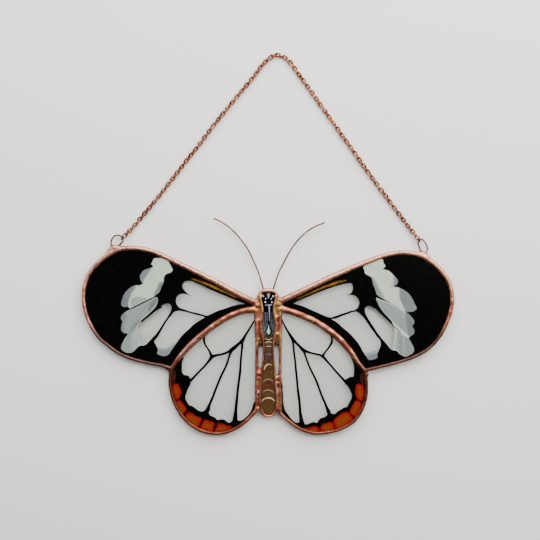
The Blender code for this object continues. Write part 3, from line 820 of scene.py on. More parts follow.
LEFT_DABS = [
    (LEFT_WHITE, 1.0, 0.97, 0.25),
    (patch((
        (153, 268), (150.6, 271.5), (147.6, 276), (145, 280), (143.4, 283.2), (138, 285), (137, 275),
        (142, 268), (150, 266))), 1.0, 0.3, 1.0),
    (patch((
        (145, 270), (142.4, 274), (141.4, 279), (142.4, 284), (136, 284), (136, 272))), 1.0, 0.1, 1.2),
    (patch((
        (137.5, 285), (135.2, 289.6), (132.4, 294), (130.8, 298), (129.4, 303), (129, 309.5),
        (118, 309), (118, 298), (124, 289), (133, 284))), 1.0, 0.22, 1.1),
    (patch((
        (132, 286), (128, 290), (125.4, 296), (124.4, 301), (122, 306), (117, 304), (121, 292),
        (129, 285))), 1.0, 0.0, 1.1),
    (patch((
        (131.4, 297.5), (136, 296), (141, 296.5), (146, 297), (150, 299), (142, 303), (131, 309),
        (129.6, 303))), 1.0, 0.62, 0.9),
    (patch((
        (164.6, 280.4), (161.6, 281.3), (158.6, 282), (157.4, 285), (155.6, 289), (153.6, 293),
        (153.2, 297), (158, 295.6), (162, 291), (165, 285))), 1.0, 0.36, 0.7),
    (patch(((164, 281), (160.6, 282.6), (158.6, 286), (159.4, 289.6), (162, 287))), 1.0, 0.22, 0.8),
    (patch((
        (157.2, 296.6), (159, 300), (156.6, 305), (151.6, 311), (146, 317), (140.6, 322.4),
        (137.6, 328), (139.2, 334), (139.8, 341), (139.6, 347.4), (135, 352), (128, 355), (118, 354),
        (118, 341), (124, 334), (118, 330), (118, 315), (128, 308), (140, 303),
        (150, 298.4))), 1.0, 0.51, 0.7),
    (patch((
        (157.2, 296.8), (159, 300), (157, 304.6), (152, 310), (147.6, 314.6), (147.6, 308),
        (150.6, 302))), 1.0, 0.14, 0.9),
    (patch((
        (129, 309.5), (126, 312.5), (127.6, 316), (126, 321), (124.6, 327), (126, 334.5), (118, 334),
        (118, 314))), 1.0, 0.3, 1.0),
    (patch((
        (140, 318), (136.4, 321.4), (133, 325), (129.4, 329.6), (127.4, 333.6), (131, 331.6),
        (135.4, 327.4), (140.6, 322.8))), 1.0, 0.3, 0.5),
    (patch((
        (133.6, 329.6), (131, 334), (130.6, 340), (130.4, 346), (133, 351), (139.4, 347.6),
        (139.8, 340), (138.8, 334), (138, 328.6))), 1.0, 0.72, 0.8),
    (patch((
        (127, 335), (124.6, 339.6), (123, 344), (123, 349), (127, 354), (118, 353),
        (118, 341))), 1.0, 0.4, 0.9),
    (LEFT_THIRD_END, 1.0, 0.45, 0.9),
    (patch((
        (156, 350.6), (161, 349.4), (166, 349.6), (171, 347.6), (172, 353), (166, 358),
        (158, 357))), 1.0, 0.24, 0.8),
]

painted_pane(
    "left_forewing_glass", "left_forewing_pane", black_enamel,
    [(LEFT_WHITE, milky_paint), (LEFT_SECOND, milky_paint), (LEFT_THIRD, clear_glass),
     (LEFT_THIRD_END, bluish_paint, LEFT_THIRD), (LEFT_FOURTH, clear_glass), (LEFT_VEIN, black_enamel),
     (LEFT_AMBER, amber_paint)],
    [LEFT_WHITE, LEFT_SECOND, LEFT_THIRD_END, LEFT_AMBER], LEFT_DABS)

# %% [markdown]
# The right forewing is the same species' pattern from the same hand, though no two strokes agree.
# Its white patch starts right at the front edge, three lobed tongues point outwards, and one pale
# scratch continues the middle vein.

# %% Right forewing paint
RIGHT_WHITE = patch((
    (377, 259.4), (383, 259.6), (383.3, 263), (384.5, 264), (385.3, 265.8), (384, 268), (382, 268.8),
    (385, 269.7), (388, 270.5), (391, 272.5), (394, 275.5), (396.5, 278), (398, 281), (397.5, 283.5),
    (395.5, 285.3), (393.5, 286), (396, 286.8), (400, 288), (404, 290), (407.5, 292.5), (410, 295),
    (412, 298), (413.5, 301), (415, 304.5), (416.7, 307.5), (415.8, 309.8), (413, 311.5), (410, 312),
    (407.5, 312), (405.5, 311.3), (407.5, 313), (410, 315), (412.5, 318), (414.3, 321), (413.8, 324),
    (412.3, 326.3), (413.5, 328), (414.5, 331), (413.8, 334), (412, 335.3), (408.5, 338),
    (409.5, 339.5), (411, 342), (412.5, 345), (414, 348.5), (414, 351), (412.5, 353.5), (410, 355),
    (407.5, 356.3), (405, 356.8), (402.5, 355.8), (399.5, 354), (398, 352), (396, 350.8), (392, 349.8),
    (389.5, 347.8), (387, 344.5), (384, 341), (381.5, 338), (380, 336.2), (377, 332), (374, 327.5),
    (371, 323), (368.5, 319), (366.5, 315.5), (365, 312), (365, 308.5), (365.3, 307.5), (367, 306.3),
    (369.5, 305.8), (372, 306.8), (375, 308.6), (378, 305.5), (377, 301.5), (376, 297.5), (376.2, 294),
    (375.5, 291), (374.5, 288), (372.8, 284), (372.3, 280), (371, 277.3), (369, 275.8), (366.5, 274.5),
    (365, 273), (364.5, 270), (363.3, 268), (366, 265), (370, 263), (374, 261)))
RIGHT_FOURTH = patch((
    (331.5, 319.3), (335, 318.8), (340, 317), (345, 315), (350, 313.2), (354, 312), (357.5, 312),
    (360, 313.8), (362.5, 316.5), (365, 319.5), (368, 324), (371, 328.5), (374, 332.5), (377, 337),
    (380, 340.5), (380.8, 344), (380.3, 347), (379, 349.5), (378, 352), (377.3, 354.5), (377.5, 356.5),
    (376.5, 358.3), (373, 359.5), (370, 360), (368.3, 359.5), (366.5, 357), (364.5, 353.8),
    (362.5, 350.5), (360, 346), (357, 341.5), (354, 338), (350.5, 334.2), (347, 331), (343, 327.8),
    (339, 324), (335, 321)))
RIGHT_FIFTH = patch((
    (293.5, 303.8), (296, 302.1), (300, 300.3), (305, 298.1), (310, 296.1), (315, 293.9), (320, 291.8),
    (325, 289.8), (330, 288.2), (335, 286.4), (340, 285.1), (345, 283.8), (350, 283), (352, 284.1),
    (352.8, 287), (352.5, 290.5), (351, 293), (348.5, 294.2), (346, 295), (349, 294.9), (352, 294.8),
    (355, 295.8), (358, 298.5), (359.3, 302), (358.8, 305.5), (357, 308.5), (354.5, 310), (350, 311),
    (345, 312.7), (340, 314.3), (335, 316.2), (331, 317.3), (327, 316.8), (323, 315), (318, 312.8),
    (310, 309.3), (305, 307), (300, 305.2), (296, 304.2)))
RIGHT_FINE_VEIN = stroke((
    (375, 295.5, 3.2), (378, 297.0, 1.8), (381, 298.7, 1.4), (385, 300.3, 0.9), (391, 303.4, 0.35),
    (398, 307, 0.3)))
RIGHT_VEIN = stroke((
    (374.5, 303, 5.0), (377.5, 307.5, 3.4), (381, 311.8, 2.6), (386, 317, 2.2), (390, 321, 1.8),
    (392.8, 324.4, 1.3)))
RIGHT_SCRATCH = stroke((
    (392.8, 323.2, 0.7), (397, 327, 0.8), (402, 331.5, 0.8), (406, 335, 0.7), (409, 338, 0.5)))
RIGHT_SCRATCH_SHADE = stroke(((392, 324.4, 1.0), (396, 328, 0.6), (401, 332.3, 0.4)))
RIGHT_AMBER = stroke((
    (296, 299.2, 0.7), (300, 297.6, 1.1), (305, 295.5, 1.4), (310, 293.3, 1.6), (315, 291.0, 1.7),
    (320, 288.7, 1.8), (325, 286.6, 2.1), (330, 284.8, 2.4), (335, 283.1, 2.5), (340, 281.7, 2.2),
    (344, 280.9, 1.6), (347, 280.5, 0.9)))
RIGHT_FOURTH_END = patch((
    (359, 351), (364, 351.6), (369, 350.6), (374, 348.8), (379, 349.2), (384, 352), (380, 362),
    (368, 364), (360, 358)))
RIGHT_DABS = [
    (patch((
        (361, 268), (368, 261), (376, 256), (386, 256), (388, 266), (392, 271), (399, 280), (396, 286),
        (404, 291), (410, 302), (414, 314), (405, 313), (397, 308), (386, 301.6), (378, 298),
        (371, 291), (368, 280), (361, 272))), 1.0, 0.97, 0.25),
    (patch((
        (369, 276), (374.4, 277), (377.6, 282), (380.6, 288), (384, 294), (386, 300.6), (377, 298),
        (371, 292), (368, 282))), 1.0, 0.42, 1.3),
    # Painted shade: a darker grey dab along the white patch's left side.
    (patch((
        (370, 279), (373.6, 281), (376.4, 287), (378.4, 293), (377, 298), (371, 293),
        (369, 284))), 1.0, 0.22, 0.9),
    (patch((
        (388, 268), (391.4, 272), (393.4, 277), (393.8, 282), (393, 287), (401, 287), (401, 272),
        (392, 266))), 1.0, 0.28, 0.6),
    (patch((
        (384, 268), (389, 271), (391.6, 276), (391.4, 282), (389, 288), (393.6, 287), (394.6, 278),
        (391, 270))), 1.0, 0.74, 0.8),
    (patch((
        (396.6, 285.6), (398.4, 290), (398.4, 296), (400, 302), (403, 308), (406, 314), (420, 313),
        (420, 298), (408, 287), (400, 284))), 1.0, 0.25, 1.1),
    (patch(((402, 300), (404, 306), (407, 313), (419, 313), (417, 306), (410, 303))), 1.0, 0.3, 1.4),
    (patch((
        (376, 297.6), (382, 299.4), (390, 303), (398, 307), (405, 311.6), (412, 313), (419, 322),
        (415, 337), (408.8, 338.6), (400.6, 330.6), (393, 323.4), (385, 315),
        (377, 306))), 1.0, 0.48, 0.8),
    (patch((
        (405.6, 312), (405.4, 318), (406.4, 325), (407, 331), (409, 338), (419, 337), (419, 318),
        (411, 311))), 1.0, 0.2, 0.5),
    (patch((
        (384, 301.5), (392, 305), (399, 309), (404.6, 313), (404.6, 317), (397, 314), (389, 308),
        (383, 303))), 1.0, 0.56, 1.2),
    (patch((
        (392, 324), (400.4, 331.4), (409, 339), (418, 346), (416, 359), (404, 360), (397, 352),
        (392, 351), (393, 340), (394, 332))), 0.85, 0.45, 1.5),
    (patch((
        (397, 329), (397.2, 336), (397, 344), (397.6, 351), (401, 357), (404.4, 358), (403.8, 350),
        (404, 342), (403.6, 335))), 1.0, 0.42, 0.8),
    (patch((
        (403.8, 335), (404.2, 342), (404, 350), (404.6, 359), (418, 357), (417, 344),
        (409, 338))), 1.0, 0.42, 0.5),
    (RIGHT_FOURTH_END, 1.0, 0.52, 0.9),
    (patch((
        (364, 355.6), (369, 354.4), (374, 352.8), (379, 353), (380, 360),
        (370, 362))), 1.0, 0.16, 0.8),
    (stroke((
        (392, 322.4, 2.2), (397, 327, 2.4), (402, 331.5, 2.4), (406, 335, 2.4),
        (409.6, 338.4, 2.0))), 1.0, 1.0, 0.12),
]

painted_pane(
    "right_forewing_glass", "right_forewing_pane", black_enamel,
    [(RIGHT_WHITE, milky_paint), (RIGHT_FOURTH, clear_glass),
     (RIGHT_FOURTH_END, bluish_paint, RIGHT_FOURTH), (RIGHT_FIFTH, clear_glass),
     (RIGHT_FINE_VEIN, black_enamel), (RIGHT_VEIN, black_enamel),
     (RIGHT_SCRATCH_SHADE, black_enamel), (RIGHT_SCRATCH, milky_paint), (RIGHT_AMBER, amber_paint)],
    [RIGHT_WHITE, RIGHT_FOURTH_END, RIGHT_AMBER], RIGHT_DABS)

# %% [markdown]
# The hindwings are the other way round: clear glass with thin painted veins, a black scalloped
# margin and a row of orange-red cells in it. A vein is a brush line that swells where two meet.
# The margin's outer side may run past the glass, because triangles outside the pane are dropped.

# %% Left hindwing paint
LEFT_MARGIN = patch((
    (183.5, 357), (182.2, 362), (182, 368), (182.3, 373), (185, 375), (188, 375.5), (190, 378),
    (190.8, 381), (190, 385), (188, 389), (186.5, 393), (185.5, 396), (185.8, 399.5), (187.5, 402.5),
    (189.5, 405.3), (192, 405.8), (194.5, 407.5), (197, 409.5), (200, 411), (202, 411.5),
    (204.5, 410.5), (207, 408.6), (208.6, 410), (209, 413.5), (210.5, 415.5), (213, 416.5),
    (215.5, 418), (217, 419.8), (222, 419.2), (225, 420), (227, 421.8), (229.5, 422.8), (231.5, 421.5),
    (233.5, 418), (235.4, 415), (236.8, 419), (239, 420.8), (243, 419.5), (247, 416.2), (249.8, 413.2),
    (251.7, 409.6), (252.6, 406.4), (253.4, 403.6), (254.6, 401.6), (260, 401), (262, 420), (250, 440),
    (210, 448), (170, 434), (154, 395), (156, 362), (172, 350)))
LEFT_SWELL = 1.55
LEFT_VEINS = (
    (
        (256, 318, 0.8), (254.8, 319.8, 0.9), (250, 328, 1.2), (245, 336, 1.7), (242.5, 340.5, 2.4),
        (238, 344.5, 2.0), (233, 348.7, 2.7), (228, 352, 1.7), (222, 354.3, 1.5), (216, 355.3, 1.7),
        (211.5, 357, 2.4)),
    ((212, 357, 2.2), (209, 350.5, 1.3), (206, 346, 1.2), (204.3, 342, 1.4), (204, 336, 1.4)),
    ((212, 356.6, 2.4), (206, 364.5, 1.4), (200, 370.7, 1.4), (195, 376, 1.4), (190.5, 381, 1.8)),
    (
        (242.5, 340, 1.6), (242.3, 346, 1.5), (241, 358, 1.4), (240, 373, 1.6), (239, 380, 1.6),
        (238, 388, 1.7), (237.3, 395, 1.7), (236.5, 403, 1.9), (235.8, 411, 2.0), (235, 420, 3.4)),
    (
        (233.4, 348, 2.2), (230, 354, 1.6), (226.5, 365, 1.4), (222, 374, 1.5), (219, 381, 1.5),
        (215.5, 390, 1.5), (212, 399, 1.6), (209, 406, 2.0), (207.5, 411, 3.4)),
)
LEFT_CELLS = [
    patch((
        (175.5, 383.5), (178, 384), (180, 387), (181.5, 390), (181.8, 393), (180.5, 396),
        (179.5, 398.5), (176.5, 400), (174, 396.5), (172, 390), (172.6, 384.5))),
    patch((
        (180, 400), (182, 402), (184.5, 405.5), (186.5, 408.5), (186, 411.5), (183.5, 414.5),
        (181, 415), (178, 410), (175.3, 404), (176.6, 401))),
    patch((
        (188, 411), (190, 412), (193, 413.5), (196, 415.5), (199.5, 417), (202, 418.5), (201.5, 421),
        (200, 424), (198.3, 428), (194, 427), (189, 423.5), (184.2, 418.5), (185.3, 415.5),
        (187, 413))),
    patch((
        (203.5, 420.3), (207, 420), (210, 421), (213, 421.5), (215, 424), (214, 427), (213, 432),
        (208, 431.5), (203, 430), (200.4, 428.4), (201.5, 423.5))),
    patch((
        (217.5, 423), (222, 423.5), (227, 425.2), (231, 426), (232.5, 427), (229, 430), (224, 432.2),
        (219, 433), (214.6, 432.6), (216, 427))),
]
LEFT_STRIP = patch((
    (174.6, 370), (175.8, 375), (175.4, 380), (174.2, 383), (171, 383), (170.5, 376), (172, 370)))

painted_pane(
    "left_hindwing_glass", "left_hindwing_pane", clear_glass,
    [(LEFT_MARGIN, black_enamel), *[(stroke(vein, LEFT_SWELL), black_enamel) for vein in LEFT_VEINS],
     *[(cell, orange_paint) for cell in LEFT_CELLS], (LEFT_STRIP, dark_red_paint)],
    LEFT_CELLS)

# %% Right hindwing paint
RIGHT_MARGIN = patch((
    (350.5, 355), (352, 360), (353.5, 364), (354.2, 368), (354, 372), (353.5, 376), (352.5, 377),
    (350, 376.8), (348, 378), (346, 379), (344.6, 381.6), (345.4, 384), (348, 386.5), (350, 390),
    (351.5, 394), (352, 396.5), (351, 399.5), (349.5, 402), (348, 405), (347, 407), (344.5, 407.3),
    (343, 408), (341, 409.5), (338.5, 410.8), (337, 412), (335.5, 413.5), (334, 414), (332, 413.7),
    (330.5, 412.5), (328.8, 410.4), (327.5, 412), (327.5, 414), (326, 416), (323, 417.5), (320, 418.5),
    (318.5, 420.5), (317, 422.5), (315.5, 422.7), (314, 421.8), (311, 422.8), (308, 424), (305, 424),
    (303.5, 423), (302, 420), (301, 415), (300, 415), (299.8, 419), (299, 422), (297, 422.8),
    (294, 421.5), (291, 418.5), (288, 414.5), (285.5, 411), (284, 407), (283.3, 402), (282.9, 392),
    (282, 384), (277, 384), (276, 420), (290, 438), (320, 446), (360, 438), (378, 400), (376, 360),
    (362, 348)))
RIGHT_SWELL = 1.45
RIGHT_VEINS = (
    (
        (281, 317.5, 0.9), (282.3, 320.5, 1.0), (285, 326.5, 1.3), (288.5, 332.5, 1.6),
        (292.6, 339, 2.4), (296, 342.8, 1.8), (300, 346.7, 1.9), (303.2, 350, 2.6), (308, 352, 1.7),
        (314, 353.8, 1.4), (320, 355, 1.6), (323, 356.5, 2.4)),
    (
        (322.8, 356.8, 2.0), (324.5, 353, 1.4), (327, 350, 1.3), (329.5, 346.5, 1.4),
        (331.5, 343, 1.6), (332, 340, 1.4), (331.5, 336, 1.4)),
    ((322.6, 356, 2.0), (330, 364.5, 1.4), (336, 371.5, 1.4), (341, 377, 1.5), (346, 382.4, 2.0)),
    (
        (292.6, 339.4, 2.0), (293.3, 345, 1.4), (294, 352, 1.4), (295, 360, 1.5), (296, 370, 1.5),
        (297, 380, 1.6), (297.7, 388, 1.6), (298.7, 396, 1.8), (299.7, 404, 1.8), (300.2, 412, 2.0),
        (301, 418, 2.6), (302, 424, 3.6)),
    (
        (303, 349.4, 2.2), (304.4, 353, 1.5), (306.5, 359, 1.3), (309.5, 367, 1.4), (312.5, 373, 1.4),
        (315, 378, 1.5), (317.5, 384, 1.5), (320, 391, 1.5), (322.5, 397.5, 1.6), (325, 403, 1.6),
        (327, 408, 2.0), (329, 412.5, 3.4)),
)
RIGHT_CELLS = [
    patch((
        (356.5, 384.3), (359.5, 383.8), (362.6, 385), (364.6, 388.5), (365, 392), (364.2, 396.5),
        (362.6, 400.5), (359.5, 400.5), (357, 399), (355.5, 396), (355, 392), (355.2, 388))),
    patch((
        (355.5, 400.5), (357.5, 400), (360, 401.4), (362, 404), (360.4, 409), (358, 413.5), (355, 417),
        (353, 416), (351, 414.5), (349.5, 412), (350.5, 409), (352.5, 405))),
    patch((
        (343.5, 412.3), (346, 411.8), (348.5, 412), (350.5, 414.5), (353, 417.2), (352, 420.5),
        (348.6, 424), (344, 427.5), (339, 429.4), (335.8, 428.6), (334, 425.5), (333.3, 422),
        (334, 419.5), (336.5, 417), (340, 414.5))),
    patch((
        (321, 425.5), (323, 423.5), (327, 422.5), (331, 421.5), (333, 423), (334, 426), (335, 430),
        (332, 431.6), (328, 432.6), (324, 433.4), (321, 433), (320.3, 429))),
    patch((
        (304.5, 428), (308, 427.5), (312, 426.3), (316, 426), (319, 427.5), (320, 429.5), (320, 433),
        (316, 433.6), (311, 433), (306, 431.2))),
]

RIGHT_STRIP = patch((
    (360.2, 374), (363, 373), (365, 377), (365.4, 382), (364, 385.4), (361.4, 384), (360.4, 379)))

painted_pane(
    "right_hindwing_glass", "right_hindwing_pane", clear_glass,
    [(RIGHT_MARGIN, black_enamel), *[(stroke(vein, RIGHT_SWELL), black_enamel) for vein in RIGHT_VEINS],
     *[(cell, orange_paint) for cell in RIGHT_CELLS], (RIGHT_STRIP, dark_red_paint)],
    RIGHT_CELLS)

# %% [markdown]
# The body is one long pane, painted all over: a black head and thorax with white dots and a pale
# T-shaped mark that fades to a thread, slate-grey panels on both sides of it, a pale kite in a black
# rim, and a brown abdomen with pale rings. The paints are ordinary gloss enamels here, so each is
# an opaque shader with a faint mottle at the size of brush marks. The same function cuts the pane.
# The pane's own outline is drawn here too, because the head fills its corners more than the solid.

# %% Body paints
BODY_PAINTS = {
    "brown": ("#3A2710", "#47311A", 2.5),
    "red-brown": ("#3A1E10", "#4A2C18", 1.6),
    "dark brown": ("#2A1D17", "#453027", 1.2),
    "dark olive": ("#221C12", "#342A1C", 1.2),
    "bluish slate": ("#2A3032", "#474F52", 1.0),
    "mauve slate": ("#29272B", "#44424A", 1.0),
    "lavender": ("#636273", "#85849A", 0.8),
    "bluish white": ("#B4B8CE", "#E2E2F4", 0.8),
    "pale aqua": ("#7C9C98", "#A2C0B8", 0.8),
    "cream": ("#94825C", "#CDB98A", 0.8),
    "tan": ("#807058", "#A99878", 0.8),
    "dull cream": ("#64564A", "#7E6E60", 0.8),
}

paints = {name: mottled_enamel(name + " enamel", [(0.35, dark), (0.65, light)], 1 / (mottle_mm * MM))
          for name, (dark, light, mottle_mm) in BODY_PAINTS.items()}
paints["black"] = black_enamel
print("body paints:", list(paints))

# %% Body pane
BODY_WINDOW_POINTS = (
    (261.4, 293.7), (263.6, 292.9), (268.2, 292.6), (272.8, 292.9), (274.8, 293.8), (274.7, 298),
    (273.8, 302), (272.9, 306), (272.6, 311), (273.3, 316), (274.3, 321), (274.7, 326), (274.1, 332),
    (272.8, 338), (271.9, 345), (272.0, 356), (272.8, 366), (273.8, 380), (274.7, 393), (275.2, 402),
    (274.8, 408.6), (272.8, 412.7), (270.3, 414.4), (267.2, 414.4), (264.6, 412.8), (262.8, 409),
    (261.9, 403), (262.0, 393), (262.6, 380), (263.6, 369), (264.9, 358), (265.2, 347), (264.4, 338),
    (262.9, 331), (262.5, 325), (263.2, 318), (263.9, 311), (263.2, 305), (262.0, 299))
BODY_DARK = patch((
    (258, 288), (280, 288), (280, 312), (274.6, 312.6), (271.6, 312.4), (271.6, 315), (270.8, 320),
    (270, 323.6), (270.2, 326.4), (271.2, 329), (272.4, 331.4), (270.8, 334), (268.7, 336.3),
    (266.6, 334.2), (265.0, 331.4), (266.2, 329), (267.2, 326.4), (267.8, 323.6), (267.8, 318),
    (267.4, 312.6), (262, 312.4), (258, 312)))
SLATE_LEFT = patch((
    (258, 311), (268, 311.6), (268.8, 318), (268.6, 323.6), (267.6, 327), (265.4, 331.4),
    (266.4, 333.6), (263, 336.4), (258, 334)))
SLATE_RIGHT = patch((
    (280, 311), (270.4, 311.6), (269.6, 318), (269.4, 323.6), (270.4, 327), (272.6, 331.4),
    (271.6, 333.6), (275, 334.6), (280, 333)))
SLATE_STREAKS = [
    stroke(((264.4, 313, 0.3), (264.2, 318, 0.6), (265, 324, 0.5), (265.4, 328, 0.2))),
    stroke(((266.6, 313, 0.4), (266.8, 318, 0.5), (266.6, 324, 0.3))),
    stroke(((272.4, 314, 0.3), (272.8, 319, 0.5), (272.4, 325, 0.3))),
]
UPPER_ABDOMEN = patch(((256, 333), (268.5, 337.5), (282, 333), (282, 362), (268.5, 363.5), (256, 362)))
LOWER_SEGMENTS = [
    patch((
        (255, 372), (268, 376), (280, 372), (280, 382.6), (273.8, 382), (268.4, 379.4), (263, 382.6),
        (255, 383))),
    patch((
        (255, 380), (263, 382.6), (268.4, 380), (274, 382.4), (280, 381), (280, 388), (268, 389),
        (255, 388))),
]
OLIVE_COLLAR = patch((
    (256, 329), (264, 330), (268.6, 333), (273, 330), (280, 329), (280, 341.6), (268.6, 341.4),
    (256, 342)))
WHITE_DOTS = [
    patch(((262.5, 295.9), (263.2, 295), (264, 295.9), (263.3, 296.9))),
    patch(((272.2, 296.1), (272.9, 295.2), (273.7, 296.1), (273, 297.1))),
    patch(((265.2, 298.0), (265.6, 297.8), (266.0, 299.1), (265.7, 299.6), (265.3, 299.2))),
    patch(((271.9, 297.9), (271.4, 297.7), (270.9, 299), (271.1, 299.5), (271.6, 299.1))),
    patch(((264.4, 302.1), (265.3, 301.3), (266.2, 302.1), (265.3, 303))),
    patch(((271, 302.1), (271.9, 301.3), (272.7, 302.1), (271.9, 303))),
]
LAVENDER_MARKS = [
    patch((
        (266.8, 293.9), (270.2, 293.8), (269.6, 295.6), (268.8, 298.6), (268, 298.6), (267.6, 296.2))),
    stroke(((265.0, 305.3, 0.7), (267, 305.0, 0.9), (270, 304.8, 0.9), (272.1, 304.9, 0.6))),
    stroke((
        (269.0, 304.8, 1.7), (269.2, 307, 1.4), (269.4, 312, 1.0), (269.5, 316, 0.7),
        (269.5, 321, 0.4))),
]
PALE_KITE = patch((
    (268.6, 324.2), (269.0, 327.0), (269.6, 329.6), (270.5, 331.6), (269.5, 333.3), (268.6, 334.6),
    (267.6, 333.3), (266.6, 331.6), (267.6, 329.4), (268.2, 327.0)))
BRIGHT_RINGS = [
    stroke((
        (264.2, 369.4, 0.4), (265.4, 366.5, 0.9), (268.0, 364.3, 0.8), (270.4, 364.5, 0.4),
        (271.8, 365.6, 0.2))),
    stroke((
        (262.0, 401.2, 0.4), (264, 399.0, 0.8), (268.3, 397.9, 0.9), (272.4, 398.8, 0.9),
        (274.9, 401.4, 0.5))),
]
TAN_RINGS = [
    stroke((
        (264.7, 337.8, 0.3), (266.4, 339, 0.55), (268.6, 339.6, 0.6), (271.2, 338.7, 0.55),
        (272.5, 337.6, 0.3))),
    stroke((
        (265.2, 343.2, 0.4), (266.6, 342, 0.65), (268.6, 341.7, 0.75), (270.8, 342, 0.65),
        (271.9, 343, 0.3))),
    stroke(((265.9, 346.5, 0.4), (268.8, 346.3, 0.65), (271.8, 346.3, 0.4))),
]
DULL_RINGS = [
    stroke(((265.7, 355.4, 0.3), (267, 354.2, 0.5), (269.6, 354.1, 0.5), (271.4, 355.2, 0.3))),
    stroke((
        (263.2, 382.4, 0.3), (265, 380.2, 0.7), (268.4, 379.3, 0.8), (271.8, 380, 0.7),
        (273.6, 381.8, 0.3))),
    stroke((
        (262.7, 392.6, 0.3), (264.8, 390.7, 0.7), (268.2, 390, 0.8), (272, 391, 0.7),
        (274.4, 393.4, 0.3))),
]

BODY_MARKS = (
    ("dark brown", [UPPER_ABDOMEN]),
    ("dark olive", [OLIVE_COLLAR]),
    ("brown", LOWER_SEGMENTS[:1]),
    ("red-brown", LOWER_SEGMENTS[1:]),
    ("bluish slate", [SLATE_LEFT]),
    ("mauve slate", [SLATE_RIGHT]),
    ("black", [*SLATE_STREAKS, BODY_DARK]),
    ("bluish white", WHITE_DOTS),
    ("lavender", LAVENDER_MARKS),
    ("pale aqua", [PALE_KITE]),
    ("cream", BRIGHT_RINGS),
    ("tan", TAN_RINGS),
    ("dull cream", DULL_RINGS),
)
FOIL_OVERLAP = 0.45

BODY_WINDOW = [on_grid(*point) for point in BODY_WINDOW_POINTS]
painted_pane(
    "body_glass", "body_pane", paints["brown"],
    [(mark, paints[paint]) for paint, marks in BODY_MARKS for mark in marks],
    outline=smooth_path(widened(BODY_WINDOW, FOIL_OVERLAP), 0.6, closed=True))

# %% [markdown]
# The solder net is what holds the glass. Each pane's edge is wrapped in copper foil, and tin solder
# run over the foil builds up round beads, which meet in blobs and are plated with copper in a bath.
# Beads could be bevelled curves, but curves never melt together where they meet. Here each bead is
# swept as a closed shape along its route, blobs are added where the solder pooled, and a voxel
# remesh fuses them all into one skin. Smoothing then draws small fillets into the joints, and noise
# gives the skin the lumps of hand work.

# %% Solder routes
BEAD_PROFILE = (
    (-0.72, 0.0), (0.72, 0.0), (0.93, 0.25), (1.0, 0.9), (1.0, 3.64), (0.93, 4.0), (0.72, 4.36),
    (0.4, 4.64), (0.0, 4.76), (-0.4, 4.64), (-0.72, 4.36), (-0.93, 4.0), (-1.0, 3.64), (-1.0, 0.9),
    (-0.93, 0.25))
FOREWING_EDGE = {
    "left": (
        (-6.0, 11.6, 3.2), (-14.0, 15.4, 3.1), (-24.0, 21.0, 2.9), (-33.0, 25.6, 2.7),
        (-42.0, 30.0, 2.5), (-50.5, 34.2, 2.4), (-56.5, 36.9, 2.3), (-63.5, 38.7, 2.4),
        (-69.0, 39.0, 2.5), (-74.2, 38.4, 2.5), (-79.3, 36.1, 2.5), (-84.8, 31.7, 2.5),
        (-89.3, 26.5, 2.4), (-91.7, 20.1, 2.3), (-92.2, 13.1, 2.2), (-90.9, 6.1, 2.1),
        (-88.3, 0.1, 2.0), (-84.5, -5.6, 1.9), (-79.7, -9.8, 1.9), (-74.8, -13.3, 1.9),
        (-69.0, -15.9, 1.9), (-60.0, -18.3, 1.9), (-52.5, -19.7, 1.9), (-48.3, -21.1, 2.2)),
    "right": (
        (6.0, 12.4, 3.2), (13.5, 15.8, 3.1), (22.0, 19.9, 2.9), (31.0, 24.2, 2.8), (41.0, 28.6, 2.7),
        (51.0, 32.7, 2.5), (59.0, 35.5, 2.4), (65.5, 36.7, 2.4), (71.0, 36.6, 2.5), (76.0, 35.4, 2.5),
        (81.2, 32.6, 2.6), (86.2, 28.1, 2.6), (90.0, 22.8, 2.5), (91.7, 17.5, 2.4), (92.0, 12.0, 2.4),
        (91.2, 7.0, 2.3), (89.6, 2.4, 2.2), (86.2, -4.4, 2.0), (81.2, -10.3, 1.9), (76.0, -13.8, 1.9),
        (70.0, -16.4, 1.9), (63.0, -18.5, 1.8), (55.5, -20.3, 1.8), (48.4, -22.0, 2.2)),
}
SEAM = {
    "left": (
        (-48.3, -21.1, 2.4), (-44.2, -15.4, 2.9), (-39.3, -9.9, 3.2), (-33.2, -4.4, 3.3),
        (-25.8, 1.3, 3.3), (-18.5, 5.5, 3.3), (-11.8, 7.8, 3.3), (-6.0, 8.4, 3.4)),
    "right": (
        (48.4, -22.0, 2.4), (45.2, -18.2, 2.7), (40.8, -12.0, 3.1), (36.0, -6.6, 3.3),
        (30.8, -2.3, 3.4), (25.0, 1.6, 3.4), (18.5, 4.8, 3.4), (12.0, 7.2, 3.3), (6.0, 9.0, 3.4)),
}
HINDWING_EDGE = {
    "left": (
        (-48.3, -21.1, 2.2), (-49.0, -28.0, 1.9), (-47.7, -35.4, 1.9), (-45.3, -41.2, 1.9),
        (-41.8, -46.2, 1.9), (-37.3, -50.1, 1.9), (-32.0, -52.6, 1.9), (-26.0, -53.6, 1.9),
        (-20.0, -52.6, 1.9), (-14.0, -49.7, 1.9), (-9.3, -45.8, 1.9), (-5.9, -42.0, 2.0)),
    "right": (
        (48.4, -22.0, 2.2), (49.1, -29.0, 2.0), (48.6, -36.5, 2.0), (46.4, -42.6, 1.9),
        (42.6, -47.7, 1.9), (36.5, -51.2, 1.9), (30.5, -52.9, 1.9), (24.5, -53.5, 1.9),
        (19.0, -52.4, 1.9), (13.6, -49.8, 1.9), (9.5, -46.6, 1.9), (6.2, -43.6, 2.0)),
}
HINDWING_SIDE = {
    "left": ((-5.9, -42.0, 2.0), (-5.7, -26.0, 1.7), (-5.6, -9.0, 1.7), (-6.0, 8.4, 2.2)),
    "right": (
        (6.2, -43.6, 2.0), (6.0, -28.0, 1.9), (6.1, -20.0, 1.5), (6.1, -9.0, 1.5), (6.0, -2.0, 1.9),
        (6.0, 9.0, 2.2)),
}
